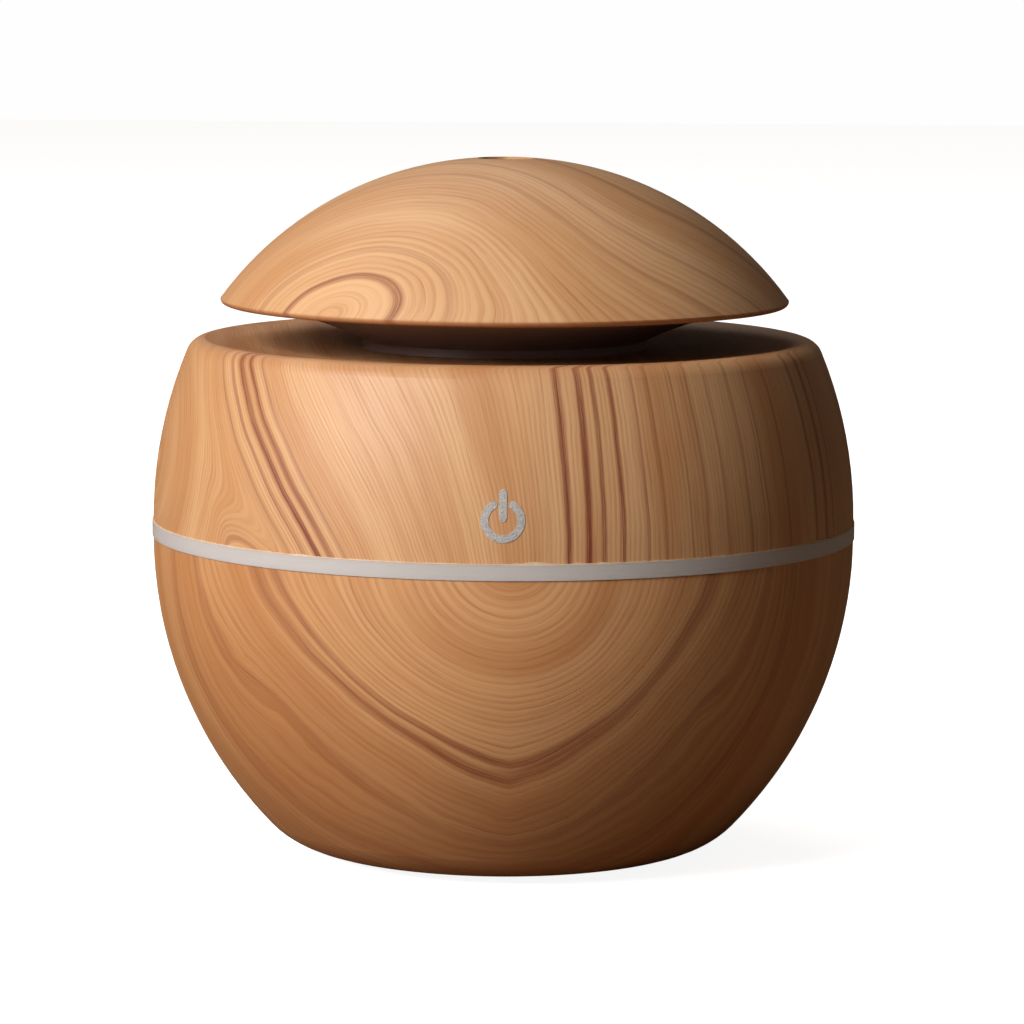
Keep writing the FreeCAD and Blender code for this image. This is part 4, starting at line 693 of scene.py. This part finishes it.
def foot_rubber():
    surface = moulded("foot_rubber", (0.022, 0.021, 0.021, 1.0), 3000.0, 0.00003, 0.72, 0.12)
    sole = surface.z.ramp(0.0, 0.25, 1.0, 0.0) * noise(surface.tree, surface.spot, 700.0, 3.0).ramp(0.4, 0.65)
    colour = surface.shader.inputs["Base Color"].links[0].from_socket
    surface.feed(Base_Color=surface.mix(sole * 0.6, colour, (0.16, 0.15, 0.14, 1.0)))
    return surface


dress(foot_rubber(), "rubber_feet")

# %% [markdown]
# ## Metals
# Screws are zinc plated and tumbled, so they are scratched in all directions, and the shaft is ground round
# and round. A group gives fine scratches as a height and a change of roughness, stretched along one axis by
# its Stretch value, and each metal keeps its own Principled shader.


# %% Metal groups and metals
def make_metal_finish():
    group, given, result = new_group(
        "metal_finish",
        [("Place", VECTOR, None), ("Stretch", VECTOR, (1.0, 1.0, 1.0)),
         ("Tone", COLOUR, (0.6, 0.6, 0.6, 1.0)), ("Stain", FLOAT, 0.3), ("Base Roughness", FLOAT, 0.3)],
        [("Color", COLOUR), ("Height", FLOAT), ("Roughness", FLOAT)],
    )
    stretched = {0: given["Place"], 1: given["Stretch"]}
    drawn = place(group, "ShaderNodeVectorMath", stretched, operation="MULTIPLY")
    scratch = noise(group, drawn.outputs[0], 2500.0, 4.0, 0.7)
    patch = noise(group, given["Place"], 220.0, 3.0, 0.6)
    darker = place(group, "ShaderNodeHueSaturation", {"Color": given["Tone"], "Value": 0.72})
    colour = blend(group, patch.ramp(0.45, 0.75) * given["Stain"], given["Tone"], darker.outputs[0], "RGBA")
    rough = scratch * 0.16 + patch * 0.12 + given["Base Roughness"]
    finish_output(group, result, Color=colour, Height=scratch, Roughness=rough)
    return group


METAL_FINISH = make_metal_finish()


def metal(name, tone, stretch, roughness, stain=0.4, relief=0.00001):
    surface = Surface(name, Metallic=1.0)
    finish = surface.wear(
        METAL_FINISH, Place=surface.spot, Stretch=stretch, Tone=tone, Stain=stain, Base_Roughness=roughness
    )
    surface.feed(Base_Color=finish["Color"], Roughness=finish["Roughness"])
    surface.relief(finish["Height"], relief, 0.5)
    return surface


EVEN = (1.0, 1.0, 1.0)
ROUND_AXIS = (0.3, 0.3, 3.0)
dress(metal("zinc_plate", (0.60, 0.61, 0.62, 1.0), EVEN, 0.26), "tank_screws", "retainer_screws",
      "fan_screws", "case_screws", "board_screws", "led_screws")
dress(metal("ground_steel", (0.66, 0.66, 0.67, 1.0), ROUND_AXIS, 0.16), "fan_shaft", "touch_spring")
dress(metal("plated_brass", (0.78, 0.62, 0.33, 1.0), ROUND_AXIS, 0.22), "jack_pin", "jack_tags")
dress(metal("pressed_core", (0.30, 0.31, 0.33, 1.0), (0.2, 0.2, 5.0), 0.34, 0.7), "fan_stator")

# %% [markdown]
# ## Circuit boards
# A board is glass fibre under a green lacquer. Copper tracks show through the lacquer as paler lines, the
# bare pads are tinned, and a fine weave lies under everything. The tracks follow a square grid here, drawn
# as the edges of large blocky cells.


# %% Boards
TRACK_PITCH = 1.6


def lacquered_board():
    surface = Surface("green_board", IOR=1.5, Coat_Weight=0.4, Coat_Roughness=0.12)
    grid = {0: surface.spot, 1: (TRACK_PITCH * MM,) * 3}
    snapped = place(surface.tree, "ShaderNodeVectorMath", grid, operation="SNAP")
    island = place(surface.tree, "ShaderNodeTexVoronoi", {"Vector": snapped.outputs[0], "Scale": 150.0})
    apart = place(surface.tree, "ShaderNodeSeparateColor", {"Color": island.outputs["Color"]})
    pour = Number(surface.tree, apart.outputs["Red"]).ramp(0.45, 0.47)
    grid_x, grid_y = ((axis / TRACK_PITCH).step("FRACT").line(0.5, 0.16) for axis in (surface.x, surface.y))
    chance = Number(surface.tree, apart.outputs["Green"])
    track = blend(surface.tree, chance.ramp(0.49, 0.51), grid_x, grid_y)
    copper = pour * 0.5 + track * (pour * -1.0 + 1.0)
    pad = grid_x * grid_y * Number(surface.tree, apart.outputs["Blue"]).ramp(0.72, 0.74)
    weave = (surface.x * 14.0).step("SINE") * (surface.y * 14.0).step("SINE") * 0.5 + 0.5
    lacquer = surface.mix(copper, (0.012, 0.085, 0.035, 1.0), (0.035, 0.18, 0.07, 1.0))
    surface.feed(Base_Color=surface.mix(pad, lacquer, (0.72, 0.70, 0.66, 1.0)), Metallic=pad)
    surface.feed(Roughness=weave * 0.08 + 0.26)
    surface.relief(copper * 0.7 + weave * 0.15, 0.00004)
    return surface


dress(lacquered_board(), "control_board", "led_board", "touch_board")

# %% [markdown]
# ## Small electrical parts
# Copper windings are lacquered wire laid turn beside turn, so a sine along the axis draws the turns, the bump
# rounds them, and painted shade darkens the grooves between them. The capacitor cans have a dark sleeve with
# a pale stripe and a bare scored end. The disc that makes the mist is a glazed ceramic ring round a thin
# steel plate, and its ring of solder holds the leads.


# %% Windings
CHOKE_TURN = 0.36
STATOR_TURN = 0.28


def copper_turns(name, turn_gap):
    surface = Surface(name, Metallic=1.0, Coat_Weight=0.6, Coat_Roughness=0.15)
    turn = (surface.z * (2 * math.pi / turn_gap)).step("SINE") * 0.5 + 0.5
    mark = noise(surface.tree, surface.spot, 500.0, 2.0)
    warm = surface.mix(mark, (0.46, 0.16, 0.055, 1.0), (0.66, 0.27, 0.11, 1.0))
    # painted shade: the colour darkens to deep brown in the grooves between the turns
    surface.feed(Base_Color=surface.mix(turn.ramp(0.0, 0.5, 0.7, 0.0), warm, (0.12, 0.035, 0.012, 1.0)))
    surface.feed(Roughness=mark * 0.15 + 0.24)
    surface.relief(turn, 0.00006)
    return surface


dress(copper_turns("choke_turns", CHOKE_TURN), "choke_winding")
dress(copper_turns("stator_turns", STATOR_TURN), "stator_coils")


# %% Capacitor sleeves
SLEEVE_LENGTH = 6.4


def capacitor_sleeve():
    surface = Surface("capacitor_sleeve", IOR=1.5)
    board_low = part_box("control_board")[0].z / MM
    end = surface.z.ramp(board_low - SLEEVE_LENGTH, board_low - SLEEVE_LENGTH + 0.1, 1.0, 0.0)
    stripe = (surface.angle() * 40.0).step("SINE").ramp(0.55, 0.7)
    grain = noise(surface.tree, surface.spot, 900.0, 2.0)
    sleeve = surface.mix(stripe, (0.012, 0.016, 0.035, 1.0), (0.55, 0.56, 0.58, 1.0))
    surface.feed(Base_Color=surface.mix(end, sleeve, (0.70, 0.71, 0.72, 1.0)), Metallic=end)
    surface.feed(Roughness=grain * 0.2 + 0.25)
    surface.relief(grain, 0.00001)
    return surface


dress(capacitor_sleeve(), "filter_capacitors")


# %% Lamps
LAMP_WINDOW = 1.6


def lamp_package():
    surface = Surface("lamp_package", IOR=1.5, Coat_Weight=0.5, Coat_Roughness=0.05)
    window_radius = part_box("led_lamps")[1].x / MM - 0.3
    middle = surface.radius().line(window_radius, LAMP_WINDOW)
    grain = noise(surface.tree, surface.spot, 2200.0, 2.0)
    surface.feed(Base_Color=surface.mix(middle, (0.80, 0.79, 0.75, 1.0), (0.85, 0.66, 0.20, 1.0)))
    surface.feed(Roughness=grain * 0.2 + 0.18)
    surface.relief(grain, 0.00001)
    return surface


dress(lamp_package(), "led_lamps")


# %% Mist disc
PLATE_RADIUS = 5.9
SILVER_RADIUS = 7.4
SILVER_HALF_WIDTH = 0.9


def mist_disc():
    surface = Surface("mist_disc", IOR=1.52, Coat_Weight=0.3, Coat_Roughness=0.1)
    radius = surface.radius()
    plate = radius.ramp(PLATE_RADIUS, PLATE_RADIUS + 0.1, 1.0, 0.0)
    silver = radius.line(SILVER_RADIUS, SILVER_HALF_WIDTH).ramp(0.2, 0.4)
    grain = noise(surface.tree, surface.spot, 1500.0, 3.0)
    rings = (radius * 21.0).step("SINE") * 0.5 + 0.5
    glaze = surface.mix(grain, (0.66, 0.61, 0.48, 1.0), (0.76, 0.71, 0.58, 1.0))
    bright = (plate + silver).step("MINIMUM", 1.0)
    surface.feed(Base_Color=surface.mix(bright, glaze, (0.70, 0.70, 0.69, 1.0)), Metallic=bright)
    surface.feed(Roughness=grain * 0.15 + rings * plate * 0.12 + 0.16)
    surface.relief(rings * plate * 0.4 + grain * 0.3, 0.00002)
    return surface


dress(mist_disc(), "atomizer_disc")


# %% Leads
RED = (0.42, 0.02, 0.018, 1.0)
BLACK = (0.02, 0.02, 0.021, 1.0)


def lead_insulation():
    """Each lead is red or black by the chance that its island of faces has."""
    surface = Surface("lead_insulation", IOR=1.5)
    chance = Number(surface.tree, place(surface.tree, "ShaderNodeNewGeometry").outputs["Random Per Island"])
    grain = noise(surface.tree, surface.spot, 1200.0, 2.0)
    surface.feed(Base_Color=surface.mix(chance.ramp(0.49, 0.51), RED, BLACK))
    surface.feed(Roughness=grain * 0.15 + 0.32)
    surface.relief(grain, 0.00001)
    return surface


dress(lead_insulation(), "power_lead", "fan_lead", "atomizer_lead", "led_lead", "touch_lead")

# %% [markdown]
# ## The torn edge of the film
# The print was trimmed by hand round the foot of the upper shell, just above the light band. It left a pale
# raised edge whose height wanders by a tenth of a millimetre, with a few small curls, the largest of them
# near the front. A colour stripe would be too clean, so the edge is a real strip: a ring of thin slices
# whose height follows noise. The noise depends only on the place, so each run gives the same strip.


# %% Torn film edge
EDGE_STEPS = 1440
EDGE_STAND_OFF = 0.00007
EDGE_DEPTH = 0.00012
EDGE_LIFT = 0.00016
EDGE_WANDER = 0.00007
EDGE_THINNEST = 0.00006
EDGE_GAP = 0.00002
# each curl is its angle from the front and its spread, both in degrees, and its size in metres
CURLS = [(5.0, 2.2, 0.00035), (11.5, 1.0, 0.0002), (15.5, 0.8, 0.00022), (-33.0, 1.2, 0.0002),
         (150.0, 2.0, 0.0003)]


def edge_section(turn, foot, radius):
    """Four corners of the strip at one angle, where its height wanders and the curls lift it."""
    spot = Vector((math.cos(turn), math.sin(turn), 0.0))
    slow = still_noise.noise(spot * 9.0)
    quick = still_noise.noise(spot * 70.0 + Vector((0.0, 0.0, 4.0)))
    lift = EDGE_LIFT + EDGE_WANDER * slow + EDGE_WANDER * quick
    front = math.degrees(turn) + 90.0
    front = (front + 180.0) % 360.0 - 180.0
    curl = sum(size * math.exp(-((front - centre) / spread) ** 2) for centre, spread, size in CURLS)
    low = foot + EDGE_GAP - 0.25 * curl
    high = foot + max(EDGE_THINNEST, lift) + 0.6 * curl
    outer = radius + EDGE_STAND_OFF
    inner = radius - EDGE_DEPTH
    corners = [(inner, low), (outer - EDGE_GAP, low), (outer, high), (inner, high)]
    return [(r * math.cos(turn), r * math.sin(turn), z) for r, z in corners]


def make_film_edge():
    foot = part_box("upper_shell")[0].z
    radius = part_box("upper_shell")[1].x
    shape = bmesh.new()
    sections = []
    for step in range(EDGE_STEPS):
        turn = 2 * math.pi * step / EDGE_STEPS
        sections.append([shape.verts.new(corner) for corner in edge_section(turn, foot, radius)])
    for here, there in zip(sections, sections[1:] + sections[:1]):
        for side in range(4):
            other = (side + 1) % 4
            shape.faces.new((here[side], there[side], there[other], here[other]))
    mesh = bpy.data.meshes.new("film_edge")
    shape.normal_update()
    shape.to_mesh(mesh)
    shape.free()
    edge = bpy.data.objects.new("film_edge", mesh)
    scene.collection.objects.link(edge)
    surface = Surface("film_edge_pale", Roughness=0.5)
    fray = noise(surface.tree, surface.spot, 900.0, 3.0)
    surface.feed(Base_Color=surface.mix(fray, (0.62, 0.42, 0.26, 1.0), (0.80, 0.66, 0.50, 1.0)))
    surface.relief(fray, 0.00003)
    mesh.materials.append(surface.material)
    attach(edge, "base")
    return edge


print("film edge faces:", len(make_film_edge().data.polygons))
